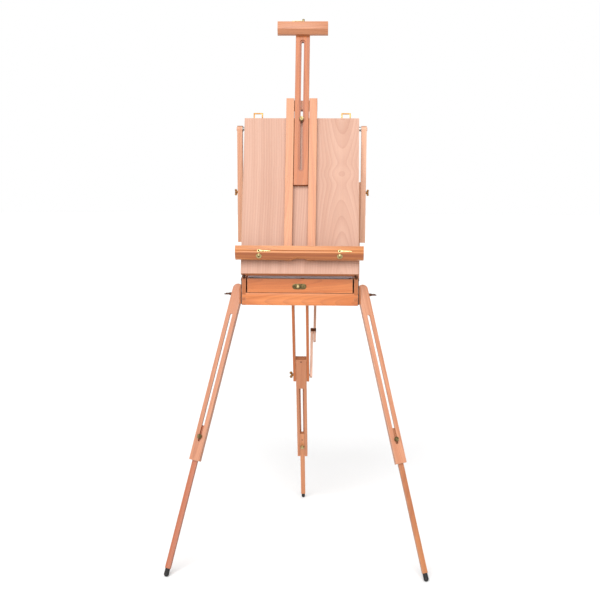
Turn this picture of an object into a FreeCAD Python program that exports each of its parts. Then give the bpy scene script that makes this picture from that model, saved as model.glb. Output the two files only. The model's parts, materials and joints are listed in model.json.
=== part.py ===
"""A folding sketch-box easel in beech: a drawer box on three telescopic legs, with a tilting lid
that carries a sliding mast, a canvas clamp and a canvas tray.

X is to the right, Y to the back, Z up, and the origin is on the floor under the middle of the
easel. Each group is built flat in a frame of its own, folded away, and then turned into place.
"""

import FreeCAD, Part
import math
import os
import re
import Sketcher

Vector = FreeCAD.Vector
X_AXIS = Vector(1, 0, 0)
Y_AXIS = Vector(0, 1, 0)
Z_AXIS = Vector(0, 0, 1)

DIMENSIONS = {
    # the box, and the height it stands at
    "front_place": -140.1, "box_wide": 380, "box_deep": 527, "box_low": 824, "box_top": 918,
    "wall": 13, "rail_tall": 40, "recess_tall": 34, "ply": 4, "finger": 10, "runner_tall": 3.3,
    "wedge_back": 74, "wedge_front": 14, "wedge_low": 826, "wedge_high": 886,
    "runner_wide": 12, "cleat_wide": 6, "cleat_tall": 4.2,
    "palette_wide": 344, "palette_deep": 400, "palette_down": 5.3, "thumb_round": 16,
    "thumb_across": 90, "leaf_in": 6.8, "knuckle_long": 5.2,
    "handle_out": 11, "grip_half": 54, "grip_drop": 26,
    # the drawer
    "drawer_wide": 344, "drawer_low": 865.5, "drawer_tall": 46, "drawer_deep": 500,
    "drawer_wall": 9, "drawer_side_tall": 40, "liner_sheet": 1, "divider": 4,
    "divider_tall": 26, "drawer_sheet": 3, "plate_offset": -1.6, "button_round": 5.5,
    "button_tall": 6.5,
    "plate_wide": 46, "plate_tall": 18, "plate_thick": 1.6, "knob_offset": -6,
    # the lid: its length runs up from the hinge, and its depth towards the painter
    "lid_long": 530, "lid_start": 3.2, "lid_gap": 0.4, "frame_deep": 34, "panel_face": 38,
    "lid_opening": 72.5, "bar_wide": 26, "bar_gap": 50, "bar_face": 58, "bar_low": 45,
    "bar_high": 592, "head_low": 560, "head_back": 20, "mast_screw_at": 521,
    # the draw latches at the lid's top, and their keepers on the back of the box
    "latch_at": 147, "keeper_wide": 16, "loop_wire": 1.9, "loop_wide": 28, "loop_long": 22,
    "loop_out": 4, "loop_back": 12,
    # the mast and its clamp
    "mast_wide": 47, "mast_back": 38.7, "mast_face": 53.7, "mast_low": 296, "mast_high": 857,
    "mast_slot": 8, "mast_groove": 18, "mast_slot_low": 350, "mast_slot_high": 792,
    "clamp_wide": 169, "clamp_low": 815, "clamp_high": 854.5, "clamp_face": 79, "clamp_slope": 13.5,
    "clamp_hook_at": 2, "clamp_hook_in": 6,
    # the tray
    "tray_wide": 410, "tray_low": 43, "tray_high": 83, "tray_back": 58.6, "tray_face": 90,
    "tray_slope": 17, "tray_line": 16, "tray_groove": 1.5, "hook_at": 129, "hook_long": 38,
    "hook_height": 66, "disc_round": 9, "relief_round": 58,
    # the struts
    "strut_place": 150, "strut_height": 900, "strut_broad": 22, "strut_lower_in": 190.8,
    "strut_lower_thick": 6.8, "strut_upper_in": 198, "strut_upper_thick": 17.6,
    "strut_lower_long": 325, "strut_upper_low": 122, "strut_pivot_at": 500, "strut_pivot_off": 17,
    "strut_screw_at": 290, "strut_slot": 7, "strut_slot_low": 254,
    "strut_slot_high": 448,
    # the front legs: lengths run down from the pivot
    "leg_pivot_out": 208.5, "leg_pivot_place": 38, "leg_pivot_height": 856, "leg_turn": 111.1,
    "leg_cant": 9.16, "leg_wide": 35, "leg_thick": 22, "leg_above": 33, "leg_low": 560,
    "leg_slot": 8, "leg_slot_high": 75, "leg_slot_low": 495, "leg_groove": 17, "leg_groove_deep": 14.5,
    "leg_lower_wide": 16.4, "leg_lower_thick": 14, "leg_lower_high": 446, "leg_screw_at": 483,
    "foot_ball": 8, "foot_long": 18,
    # the rear leg and its brace
    "rear_place": 30, "rear_height": 830, "rear_drop": 60.5, "slat_thick": 9, "slat_inside": 18.9,
    "slat_above": 12, "slat_low": 340, "slat_back": 19.5, "rear_screw_at": 331, "rear_screw_off": 14.5,
    "rear_wide": 37, "rear_thick": 22, "rear_high": 242, "rear_low": 716, "rear_groove": 17,
    "rear_groove_deep": 14.5, "rear_slot": 7, "rear_slot_high": 386, "rear_slot_low": 682,
    "rear_lower_high": 600, "rear_knob_at": 662, "rear_ball": 6.5,
    "brace_broad": 20, "brace_lower_in": 29.4, "brace_upper_in": 39.6, "brace_thick": 9,
    "brace_lower_long": 178, "brace_upper_low": 130, "brace_end_place": 400, "brace_end_height": 844.5,
    # fits and small metal parts
    "fit": 0.05, "slack": 0.3, "pin_round": 3, "thin_pin": 1.4, "knuckle": 3, "sheet_brass": 1,
    "ease": 1, "knob_round": 7.5,
}

document = FreeCAD.newDocument("sketch_box_easel")
sheet = document.addObject("Spreadsheet::Sheet", "dims")
for row, (alias, number) in enumerate(DIMENSIONS.items(), 1):
    sheet.set(f"A{row}", alias)
    sheet.set(f"B{row}", str(number))
    sheet.setAlias(f"B{row}", alias)
document.recompute()
parts = []
SPARE_CELL = "D1"
LONG_EDGE = 100
INSIDE = "drawer_wide - 2 * drawer_wall - 2"
PLATE_HIGH = "drawer_low + drawer_tall / 2 - 2"


def value(alias):
    """A driving dimension's value."""
    return float(sheet.get(alias))


def bind(thing, path, text):
    """Binds a property to a rule written with the sheet's aliases."""
    words = r"[a-z][a-z_]+"
    thing.setExpression(path, re.sub(words, lambda word: "dims." + word.group(), str(text)))


def block(name, middle_x, low_y, low_z, wide, long, tall):
    """A box centred across X, from low_y and low_z up. Every size is a rule."""
    box = document.addObject("Part::Box", name)
    bind(box, "Length", wide)
    bind(box, "Width", long)
    bind(box, "Height", tall)
    bind(box, "Placement.Base.x", f"({middle_x}) - ({wide}) / 2")
    bind(box, "Placement.Base.y", low_y)
    bind(box, "Placement.Base.z", low_z)
    return box


def rod(name, place, axis, radius, long):
    """A cylinder that starts at place and runs along axis."""
    cylinder = document.addObject("Part::Cylinder", name)
    bind(cylinder, "Radius", radius)
    bind(cylinder, "Height", long)
    cylinder.Placement.Rotation = FreeCAD.Rotation(Z_AXIS, axis)
    for letter, text in zip("xyz", place):
        bind(cylinder, f"Placement.Base.{letter}", text)
    return cylinder


def ball(name, place, radius):
    """A ball about place."""
    sphere = document.addObject("Part::Sphere", name)
    sphere.Placement.Rotation = FreeCAD.Rotation(Z_AXIS, Y_AXIS)
    bind(sphere, "Radius", radius)
    for letter, text in zip("xyz", place):
        bind(sphere, f"Placement.Base.{letter}", text)
    return sphere


def taper(name, place, axis, radius, end_radius, long):
    """A cone that starts at place and runs along axis."""
    cone = document.addObject("Part::Cone", name)
    bind(cone, "Radius1", radius)
    bind(cone, "Radius2", end_radius)
    bind(cone, "Height", long)
    cone.Placement.Rotation = FreeCAD.Rotation(Z_AXIS, axis)
    for letter, text in zip("xyz", place):
        bind(cone, f"Placement.Base.{letter}", text)
    return cone


def joined(name, *pieces):
    """One solid, or several that stay apart, from pieces."""
    union = document.addObject("Part::MultiFuse", name)
    union.Shapes = list(pieces)
    union.Refine = True
    return union


def together(name, *pieces):
    """Pieces of one sub-part that touch and stay separate solids."""
    group = document.addObject("Part::Compound", name)
    group.Links = list(pieces)
    return group


def cut(name, base, *tools):
    """The base without its tools."""
    result = document.addObject("Part::Cut", name)
    result.Base = base
    result.Tool = tools[0] if len(tools) == 1 else joined(name + "_tools", *tools)
    result.Refine = True
    return result


def eased(name, base, shortest):
    """The base with its straight edges that are longer than shortest rounded over."""
    document.recompute()
    radius = value("ease")
    edges = enumerate(base.Shape.Edges, 1)
    long = [(at, radius, radius) for at, edge in edges if edge.Length > shortest and is_straight(edge)]
    result = document.addObject("Part::Fillet", name)
    result.Base = base
    result.Edges = long
    return result


def is_straight(edge):
    """Whether an edge is a straight line."""
    return isinstance(edge.Curve, Part.Line)


def slot_cutter(name, middle_x, low, high, low_z, wide, tall):
    """A round-ended cutter along Y for a slot through Z."""
    middle = block(name + "_middle", middle_x, low, low_z, wide, f"({high}) - ({low})", tall)
    ends = [
        rod(f"{name}_end_{at}", (middle_x, end, low_z), Z_AXIS, f"({wide}) / 2", tall)
        for at, end in enumerate((low, high))
    ]
    return joined(name, middle, *ends)


def extrusion(name, outline, long):
    """A body with a closed outline in the YZ plane, padded both ways along X."""
    body = document.addObject("PartDesign::Body", name)
    sketch = body.newObject("Sketcher::SketchObject", name + "_outline")
    plane = next(item for item in body.Origin.OriginFeatures if item.Role == "YZ_Plane")
    sketch.AttachmentSupport = [(plane, "")]
    sketch.MapMode = "FlatFace"
    draw(sketch, outline)
    pad = body.newObject("PartDesign::Pad", name + "_pad")
    pad.Profile = sketch
    pad.Midplane = True
    bind(pad, "Length", long)
    return body


def plan_body(name, outline, low, tall):
    """A body with a closed outline in the XY plane, padded up from low."""
    body = document.addObject("PartDesign::Body", name)
    sketch = body.newObject("Sketcher::SketchObject", name + "_outline")
    plane = next(item for item in body.Origin.OriginFeatures if item.Role == "XY_Plane")
    sketch.AttachmentSupport = [(plane, "")]
    sketch.MapMode = "FlatFace"
    bind(sketch, "AttachmentOffset.Base.z", low)
    draw(sketch, outline)
    pad = body.newObject("PartDesign::Pad", name + "_pad")
    pad.Profile = sketch
    bind(pad, "Length", tall)
    return body


def draw(sketch, outline):
    """Straight lines round the outline, whose corners are held at pairs of rules."""
    corners = [[evaluate(text) for text in corner] for corner in outline]
    following = corners[1:] + corners[:1]
    for start, end in zip(corners, following):
        sketch.addGeometry(Part.LineSegment(Vector(*start, 0), Vector(*end, 0)), False)
    for at in range(len(corners)):
        sketch.addConstraint(Sketcher.Constraint("Coincident", at, 2, (at + 1) % len(corners), 1))
    for at, corner in enumerate(outline):
        for kind, text in zip(("DistanceX", "DistanceY"), corner):
            index = sketch.addConstraint(Sketcher.Constraint(kind, -1, 1, at, 1, evaluate(text)))
            bind(sketch, f"Constraints[{index}]", text)


def evaluate(text):
    """What a rule comes to, worked out in a spare cell of the sheet."""
    sheet.set(SPARE_CELL, f"={text}")
    sheet.recompute()
    return float(sheet.get(SPARE_CELL))


def keep(thing, label, frame=FreeCAD.Placement()):
    """Names a sub-part and puts it in its frame."""
    thing.Label = label
    thing.Placement = frame
    parts.append(thing)
    return thing


def mirror(thing, label):
    """The sub-part's twin on the other side of the easel."""
    twin = document.addObject("Part::Mirroring", label + "_twin")
    twin.Source = thing
    twin.Normal = X_AXIS
    return keep(twin, label)


def pair(name, piece):
    """A piece and its twin across the middle, as one."""
    twin = document.addObject("Part::Mirroring", name + "_twin")
    twin.Source = piece
    twin.Normal = X_AXIS
    return joined(name, piece, twin)


def turned(place, axis, angle):
    """A frame at place, turned by angle about axis."""
    return FreeCAD.Placement(place, FreeCAD.Rotation(axis, angle))


FRONT = value("front_place")
BOX = turned(Vector(0, FRONT, 0), X_AXIS, 0)
LID_HINGE = Vector(0, FRONT - value("lid_start"), value("box_top"))
LID = turned(LID_HINGE, X_AXIS, value("lid_opening"))
STRUT_PIVOT = Vector(0, FRONT + value("strut_place"), value("strut_height"))
STRUT_TOP = LID.multVec(Vector(0, value("strut_pivot_at"), value("strut_pivot_off")))
STRUT_RUN = STRUT_TOP - STRUT_PIVOT
STRUT = turned(STRUT_PIVOT, X_AXIS, math.degrees(math.atan2(STRUT_RUN.z, STRUT_RUN.y)))
CANT = math.radians(value("leg_cant"))
LEG_AXIS = Vector(-math.cos(CANT), math.sin(CANT), 0)
LEG_ALONG = Vector(math.sin(CANT), math.cos(CANT), 0)
LEG_PLACE = FRONT + value("leg_pivot_place")
LEG_PIVOT = Vector(-value("leg_pivot_out"), LEG_PLACE, value("leg_pivot_height"))
LEG = turned(LEG_PIVOT, LEG_AXIS, value("leg_turn"))
REAR_PIVOT = Vector(0, FRONT + value("rear_place"), value("rear_height"))
REAR = turned(REAR_PIVOT, X_AXIS, -value("rear_drop"))
BRACE_PIVOT = REAR.multVec(Vector(0, value("rear_screw_at"), value("rear_screw_off")))
BRACE_END = Vector(0, FRONT + value("brace_end_place"), value("brace_end_height"))
BRACE_RUN = BRACE_END - BRACE_PIVOT
BRACE = turned(BRACE_PIVOT, X_AXIS, math.degrees(math.atan2(BRACE_RUN.z, BRACE_RUN.y)))


def standing_length(frame, height, off, radius):
    """How far down a leg the middle of its ball foot is, so that it stands on the floor."""
    along = frame.Rotation.multVec(Y_AXIS).z
    across = frame.Rotation.multVec(Z_AXIS).z
    return (height - radius + off * across) / -along


def facing(place, axis):
    """A frame at place whose Z runs along axis."""
    return FreeCAD.Placement(place, FreeCAD.Rotation(Z_AXIS, axis))


def derive(alias, number):
    """Adds a worked-out length to the sheet, so that rules can use it."""
    row = len(DIMENSIONS) + 1
    DIMENSIONS[alias] = number
    sheet.set(f"A{row}", alias)
    sheet.set(f"B{row}", str(round(number, 3)))
    sheet.setAlias(f"B{row}", alias)
    document.recompute()


def wing_screw(name, reach, hub_radius):
    """A thumbscrew with its shank along -Z, a tapered hub and two round wings along X."""
    span = 9
    wing = 6.5
    shank = rod(name + "_shank", (0, 0, f"-({reach})"), Z_AXIS, "pin_round", f"{reach} + 1")
    hub = taper(name + "_hub", (0, 0, 0), Z_AXIS, hub_radius, 4.5, 9)
    wings = [rod(f"{name}_wing_{side}", (side * span, 1.3, 9), -Y_AXIS, wing, 2.6) for side in (-1, 1)]
    return joined(name, shank, hub, *wings)


def knob_screw(name, reach):
    """A round knob on a collar, with its shank along -Z."""
    shank = rod(name + "_shank", (0, 0, f"-({reach})"), Z_AXIS, "pin_round", f"{reach} + 1")
    collar = taper(name + "_collar", (0, 0, 0), Z_AXIS, 5, 4, 3)
    head = rod(name + "_head", (0, 0, 3), Z_AXIS, "knob_round", 6)
    crown = taper(name + "_crown", (0, 0, 9), Z_AXIS, "knob_round", "knob_round - 2", 2)
    return joined(name, shank, collar, head, crown)


def box_group():
    """The open box: boards with finger joints at their corners, and the leg wedges."""
    wide = "box_wide - 2 * wall"
    side_x = "-(box_wide - wall) / 2"
    back_place = "box_deep - wall"
    back_low = "box_low + recess_tall"
    back_tall = f"box_top - ({back_low})"
    side = block("side", side_x, 0, "box_low", "wall", "box_deep", "box_top - box_low")
    rail = block("rail", 0, 0, "box_low", wide, "wall", "rail_tall")
    back = block("back", 0, back_place, back_low, wide, "wall", back_tall)
    front_fingers = fingers("front_finger", "0", "box_low", 2)
    back_fingers = fingers("back_finger", back_place, back_low, 3)
    strut_start = ("-box_wide / 2 - 1", "strut_place", "strut_height")
    strut_hole = rod("strut_hole", strut_start, X_AXIS, "pin_round + fit", "wall + 2")
    leg_hole = leg_cylinder("leg_hole")
    side_cut = cut("side_cut", side, strut_hole, leg_hole, *front_fingers, *back_fingers)
    keep(pair("box_sides", side_cut), "box_sides", BOX)
    keep(joined("rail_fingers", rail, *both_sides(front_fingers)), "box_front_rail", BOX)
    keep(joined("back_fingers", back, *both_sides(back_fingers)), "box_back_wall", BOX)
    wedge = plan_body(
        "wedge",
        [
            ("-box_wide / 2", "wedge_front"),
            ("-box_wide / 2", "wedge_back"),
            (f"-box_wide / 2 - (wedge_back - wedge_front) * {math.tan(CANT)}", "wedge_front"),
        ],
        "wedge_low",
        "wedge_high - wedge_low",
    )
    wedge_cut = cut("wedge_cut", wedge, leg_cylinder("wedge_hole"))
    keep(pair("leg_wedges", wedge_cut), "leg_wedges", BOX)


def box_inside():
    """The floor of the box, the drawer's runners, the palette and the cleats it lies on."""
    back_low = "box_low + recess_tall"
    deep = "box_deep - 2 * wall"
    floor = block("floor", 0, "wall", back_low, "box_wide - 2 * wall", deep, "ply")
    keep(eased("floor_eased", floor, LONG_EDGE), "box_floor", BOX)
    runner_x = "-(box_wide - runner_wide) / 2 + wall"
    runner_low = f"{back_low} + ply"
    runner_long = f"{deep} - 1"
    runner = block(
        "runner", runner_x, "wall + 0.5", runner_low, "runner_wide", runner_long, "runner_tall"
    )
    cleat_x = "-(box_wide - cleat_wide) / 2 + wall"
    cleat_low = "box_top - palette_down - cleat_tall - 0.1"
    cleat = block(
        "cleat", cleat_x, "wall + 8", cleat_low, "cleat_wide", f"{deep} - 11", "cleat_tall"
    )
    keep(pair("box_runners", joined("runner_and_cleat", runner, cleat)), "box_runners", BOX)
    palette_low = "box_top - palette_down"
    palette = block(
        "palette_sheet", 0, "wall + 10", palette_low, "palette_wide", "palette_deep", "ply"
    )
    thumb_place = ("thumb_across", "wall + thumb_across", f"{palette_low} - 1")
    thumb = rod("thumb_hole", thumb_place, Z_AXIS, "thumb_round", "ply + 2")
    keep(cut("palette_cut", palette, thumb), "palette", BOX)


def fingers(name, low_y, low_z, count):
    """The left fingers of a corner joint, each as deep as the wall."""
    side_x = "-(box_wide - wall) / 2"
    return [
        block(f"{name}_{at}", side_x, low_y, f"{low_z} + finger * {step}", "wall", "wall", "finger")
        for at, step in enumerate((0.5, 2.5, 4.5)[:count])
    ]


def both_sides(pieces):
    """The pieces and their twins across the middle."""
    twins = []
    for piece in pieces:
        twin = document.addObject("Part::Mirroring", piece.Name + "_right")
        twin.Source = piece
        twin.Normal = X_AXIS
        twins.append(twin)
    return [*pieces, *twins]


def leg_cylinder(name):
    """A cutter about the left leg's pivot axis, in the box's own frame."""
    reach = 60
    centre = Vector(LEG_PIVOT.x, value("leg_pivot_place"), LEG_PIVOT.z)
    start = centre - LEG_AXIS * reach
    return rod(name, tuple(start), LEG_AXIS, "pin_round + 1", 2 * reach)


def box_fittings():
    """The hinge leaves and latch keepers of the box, and the brackets of the legs."""
    leaf_x = "-(box_wide / 2 - leaf_in)"
    place = "-lid_start"
    barrel = rod("leaf_barrel", (leaf_x, place, "box_top"), -X_AXIS, "knuckle", "knuckle_long")
    leaf = block(
        "leaf_plate", leaf_x, "-sheet_brass", "box_top - 20", "2 * knuckle_long", "sheet_brass", 18
    )
    bore_start = (f"{leaf_x} + 13.2", place, "box_top")
    bore = rod("leaf_bore", bore_start, -X_AXIS, "thin_pin + fit", 30)
    clear_start = (f"{leaf_x} + 0.1", place, "box_top")
    clear = rod("leaf_clear", clear_start, X_AXIS, "knuckle + slack", 8)
    leaf_cut = cut("leaf_cut", joined("leaf_whole", leaf, barrel), bore, clear)
    leaves = pair("hinge_leaves_box", leaf_cut)
    keeper = block("keeper", "-latch_at", "box_deep", "box_top - 26", "keeper_wide", 1.5, 18)
    lip = block("keeper_lip", "-latch_at", "box_deep", "box_top - 17", "keeper_wide", 3.4, 2)
    keepers = pair("latch_keepers", joined("keeper_whole", keeper, lip))
    keep(together("box_fittings_group", leaves, keepers), "box_brass_fittings", BOX)
    bracket_x = "-(slat_inside + slat_thick + 6)"
    bracket = block(
        "bracket", bracket_x, "rear_place - 15", "box_low + 3", 11, 30, "recess_tall - 3"
    )
    rear = ("-2 * rear_wide", "rear_place", "rear_height")
    hole = rod("bracket_hole", rear, X_AXIS, "pin_round + fit", "2 * rear_wide")
    keep(pair("brackets", cut("bracket_cut", bracket, hole)), "rear_leg_brackets", BOX)
    ear_x = "brace_upper_in + brace_thick + 3.5"
    ear_low = "brace_end_height - 8"
    ear_tall = f"box_low + recess_tall - ({ear_low})"
    ear = block("ear", ear_x, "brace_end_place - 12", ear_low, 4, 24, ear_tall)
    keep(eased("brace_bracket_eased", ear, 20), "brace_bracket", BOX)


def pivot_pins():
    """The pins of the lid's hinges, of the struts and of the rear leg."""
    hinge_start = ("-(box_wide / 2 - 1.2)", "-lid_start", "box_top")
    hinge_pin = rod("hinge_pin", hinge_start, X_AXIS, "thin_pin", 12.4)
    inner = "box_wide / 2 - wall"
    strut_start = (f"-({inner}) + 2", "strut_place", "strut_height")
    strut_long = f"strut_lower_in + strut_lower_thick - 0.3 - ({inner}) + 2"
    strut_pin = rod("strut_pin", strut_start, -X_AXIS, "pin_round", strut_long)
    head_start = (f"-({inner})", "strut_place", "strut_height")
    strut_head = rod("strut_pin_head", head_start, X_AXIS, 6, 2.5)
    strut = joined("strut_pin_whole", strut_pin, strut_head)
    side_pins = pair("side_pins", joined("side_pin", strut, hinge_pin))
    rear = ("-rear_wide", "rear_place", "rear_height")
    rear_pin = rod("rear_pin", rear, X_AXIS, "pin_round", "2 * rear_wide")
    keep(joined("pivot_pins", side_pins, rear_pin), "pivot_pins", BOX)


def handle_group():
    """The carrying handle on the back of the box, and its two posts."""
    place = "box_deep + handle_out"
    turn = "box_top - 28"
    grip_low = f"{turn} - grip_drop"
    post = block("post", "-68", "box_deep", "box_top - 36", 18, 8, 16)
    eye = rod("post_eye", ("-77", place, turn), X_AXIS, 6, 18)
    eye_hole = rod("post_hole", ("-90", place, turn), X_AXIS, "pin_round + fit", 40)
    posts = pair("posts", cut("post_cut", joined("post_whole", post, eye), eye_hole))
    keep(posts, "handle_posts", BOX)
    grip = rod("grip", ("-grip_half", place, grip_low), X_AXIS, 8, "2 * grip_half")
    arm = rod("arm", ("-grip_half", place, turn), -Z_AXIS, 3.4, "grip_drop")
    trunnion = rod("trunnion", ("-grip_half - 22", place, turn), X_AXIS, "pin_round", 22)
    arm_foot = ball("arm_foot", ("-grip_half", place, grip_low), 6)
    ends = pair("handle_ends", joined("handle_end", arm, trunnion, arm_foot))
    keep(joined("handle_whole", grip, ends), "carry_handle", BOX)


def drawer_group():
    """The drawer's boards and its floor."""
    front = block("front_board", 0, 0, "drawer_low", "drawer_wide", "wall", "drawer_tall")
    knob_hole = rod("latch_hole", ("knob_offset", "-1", PLATE_HIGH), Y_AXIS, "pin_round + fit", 40)
    front_cut = cut("drawer_front_cut", eased("front_board_eased", front, LONG_EDGE), knob_hole)
    keep(front_cut, "drawer_front", BOX)
    side_x = "-(drawer_wide - drawer_wall) / 2 + 1"
    side = block(
        "drawer_side",
        side_x,
        "wall",
        "drawer_low",
        "drawer_wall",
        "drawer_deep - wall",
        "drawer_side_tall",
    )
    back_place = "drawer_deep - drawer_wall"
    back = block(
        "drawer_back", 0, back_place, "drawer_low", INSIDE, "drawer_wall", "drawer_side_tall"
    )
    walls = together("drawer_walls_group", pair("drawer_sides", side), back)
    keep(walls, "drawer_walls", BOX)
    deep = f"{back_place} - wall"
    floor = block("drawer_floor_board", 0, "wall", "drawer_low + 1", INSIDE, deep, "drawer_sheet")
    keep(eased("drawer_floor_eased", floor, LONG_EDGE), "drawer_floor", BOX)


def drawer_fittings():
    """The metal liner of the drawer, its dividers and its latch."""
    wide = f"{INSIDE} - 2 * slack"
    deep = "drawer_deep - wall - drawer_wall - 2 * slack"
    low = "drawer_low + drawer_sheet + 1.2"
    tall = "drawer_side_tall - 8"
    liner = block("liner_outside", 0, "wall + slack", low, wide, deep, tall)
    hollow = block(
        "liner_inside",
        0,
        "wall + slack + liner_sheet",
        f"{low} + liner_sheet",
        f"{wide} - 2 * liner_sheet",
        f"{deep} - 2 * liner_sheet",
        tall,
    )
    keep(cut("liner_cut", liner, hollow), "drawer_liner", BOX)
    base = f"{low} + liner_sheet + 0.2"
    clear = f"{wide} - 2 * liner_sheet - 1"
    cross_at = "drawer_deep * 0.3"
    cross = block("divider_cross", 0, cross_at, base, clear, "divider", "divider_tall")
    middle_at = f"{cross_at} + divider"
    middle_long = "drawer_deep * 0.6"
    middle = block("divider_long", 0, middle_at, base, "divider", middle_long, "divider_tall")
    keep(joined("dividers", cross, middle), "drawer_dividers", BOX)
    straight = "plate_wide - plate_tall"
    plate_low = f"{PLATE_HIGH} - plate_tall / 2"
    plate = block(
        "plate_bar", "plate_offset", "-plate_thick", plate_low, straight, "plate_thick", "plate_tall"
    )
    ends = [plate_end(side, f"({straight}) / 2") for side in (-1, 1)]
    hole = rod("plate_hole", ("knob_offset", "-5", PLATE_HIGH), Y_AXIS, "pin_round + fit", 10)
    whole = joined("plate_whole", plate, *ends)
    keep(cut("plate_cut", whole, hole), "drawer_latch_plate", BOX)
    spindle_start = ("knob_offset", "-plate_thick - button_tall", PLATE_HIGH)
    spindle_long = "plate_thick + button_tall + wall - 0.5"
    spindle = rod("latch_spindle", spindle_start, Y_AXIS, "pin_round", spindle_long)
    button_start = ("knob_offset", "-plate_thick - button_tall - 0.5", PLATE_HIGH)
    button = rod("latch_button", button_start, Y_AXIS, "button_round", "button_tall")
    keep(joined("latch_knob_whole", spindle, button), "drawer_latch_knob", BOX)


def plate_end(side, out):
    """One round end of the drawer's latch plate."""
    start = (f"plate_offset + ({side}) * ({out})", "-plate_thick", PLATE_HIGH)
    return rod(f"plate_end_{side}", start, Y_AXIS, "plate_tall / 2", "plate_thick")


def lid_group():
    """The lid: a frame, its plywood face and the mast's guide bars."""
    long = "lid_long - lid_start"
    tall = "frame_deep - lid_gap"
    wide = "box_wide - 2 * wall"
    side_x = "-(box_wide - wall) / 2"
    side = block("lid_side", side_x, "lid_start", "lid_gap", "wall", long, tall)
    low_rail = block("lid_rail_low", 0, "lid_start", "lid_gap", wide, "wall", tall)
    top_rail = block("lid_rail_top", 0, "lid_long - wall", "lid_gap", wide, "wall", tall)
    top_cut = cut("lid_top_rail", top_rail, lid_screw_hole("frame_hole"))
    frame = together("lid_frame_group", pair("lid_sides", side), low_rail, top_cut)
    keep(frame, "lid_frame", LID)
    thick = "panel_face - frame_deep"
    panel = block("panel_sheet", 0, "lid_start", "frame_deep", "box_wide", long, thick)
    keep(cut("panel_cut", panel, lid_screw_hole("panel_hole")), "lid_panel", LID)
    bar_x = "-(bar_gap + bar_wide) / 2"
    bar_long = "bar_high - bar_low"
    bar_deep = "bar_face - panel_face"
    bar = block("guide_bar", bar_x, "bar_low", "panel_face", "bar_wide", bar_long, bar_deep)
    bars = pair("guide_bars_pair", eased("guide_bar_eased", bar, LONG_EDGE))
    head_wide = "bar_gap + 2 * bar_wide"
    head_long = "bar_high - head_low"
    head_deep = "panel_face - head_back"
    head = block("head_block", 0, "head_low", "head_back", head_wide, head_long, head_deep)
    head_eased = eased("head_block_eased", head, LONG_EDGE)
    keep(together("guide_bars_group", bars, head_eased), "guide_bars", LID)


def lid_screw_hole(name):
    """The hole that the mast's screw turns in."""
    start = (0, "mast_screw_at", "frame_deep - 24")
    return rod(name, start, Z_AXIS, "pin_round + fit", 60)


def lid_fittings():
    """The lid's hinge leaves, the spacers of its struts and the lugs of its latches."""
    barrel_start = ("-(box_wide / 2 - leaf_in - 0.4)", 0, 0)
    barrel = rod("lid_barrel", barrel_start, X_AXIS, "knuckle", "knuckle_long")
    leaf_x = "-(box_wide / 2 - leaf_in - 0.4 - knuckle_long / 2)"
    leaf_low = "lid_start - sheet_brass"
    leaf = block("lid_leaf", leaf_x, leaf_low, 0, "knuckle_long", "sheet_brass", 20)
    web = block("lid_leaf_web", leaf_x, 1.5, 1.6, "knuckle_long", "lid_start - 1.5", 1.2)
    bore = rod("lid_leaf_bore", ("-(box_wide / 2 - 20)", 0, 0), -X_AXIS, "thin_pin + fit", 30)
    leaves = pair("hinge_leaves_lid", cut("lid_leaf_cut", joined("lid_leaf_whole", barrel, leaf, web), bore))
    spacer_start = ("-box_wide / 2", "strut_pivot_at", "strut_pivot_off")
    spacer_long = "strut_upper_in - box_wide / 2 - 0.6"
    spacers = pair("strut_spacers", rod("spacer", spacer_start, -X_AXIS, 9, spacer_long))
    plate = block("lid_latch_base", "-latch_at", "lid_long", 3, 20, 1.5, 24)
    foot = block("lid_latch_foot", "-latch_at", "lid_long", 10, 10, 4, 4)
    lug_start = ("-latch_at - 5", "lid_long + loop_out", "loop_back")
    lug = rod("lid_latch_lug", lug_start, X_AXIS, "loop_wire + 1.4", 10)
    hole_start = ("-latch_at - 13", "lid_long + loop_out", "loop_back")
    lug_hole = rod("lid_latch_lug_hole", hole_start, X_AXIS, "loop_wire + 0.1", 30)
    lug_cut = cut("latch_plate_cut", joined("latch_plate_whole", plate, lug, foot), lug_hole)
    plates = pair("latch_plates", lug_cut)
    keep(together("lid_fittings_group", leaves, spacers, plates), "lid_brass_fittings", LID)


def latches():
    """The wire loops of the two draw latches."""
    sides = ("-latch_at - loop_wide / 2", "-latch_at + loop_wide / 2")
    near = "lid_long + loop_out"
    far = f"{near} + loop_long"
    pin = rod("loop_pin", (sides[0], near, "loop_back"), X_AXIS, "loop_wire", "loop_wide")
    bow = rod("loop_bow", (sides[0], far, "loop_back"), X_AXIS, "loop_wire", "loop_wide")
    arms = []
    corners = []
    for at, across in enumerate(sides):
        start = (across, near, "loop_back")
        arms.append(rod(f"loop_arm_{at}", start, Y_AXIS, "loop_wire", "loop_long"))
        corners.append(ball(f"loop_near_{at}", start, "loop_wire"))
        corners.append(ball(f"loop_far_{at}", (across, far, "loop_back"), "loop_wire"))
    left = keep(joined("latch_loop", pin, *arms, bow, *corners), "lid_latch_left", LID)
    mirror(left, "lid_latch_right")


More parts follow.
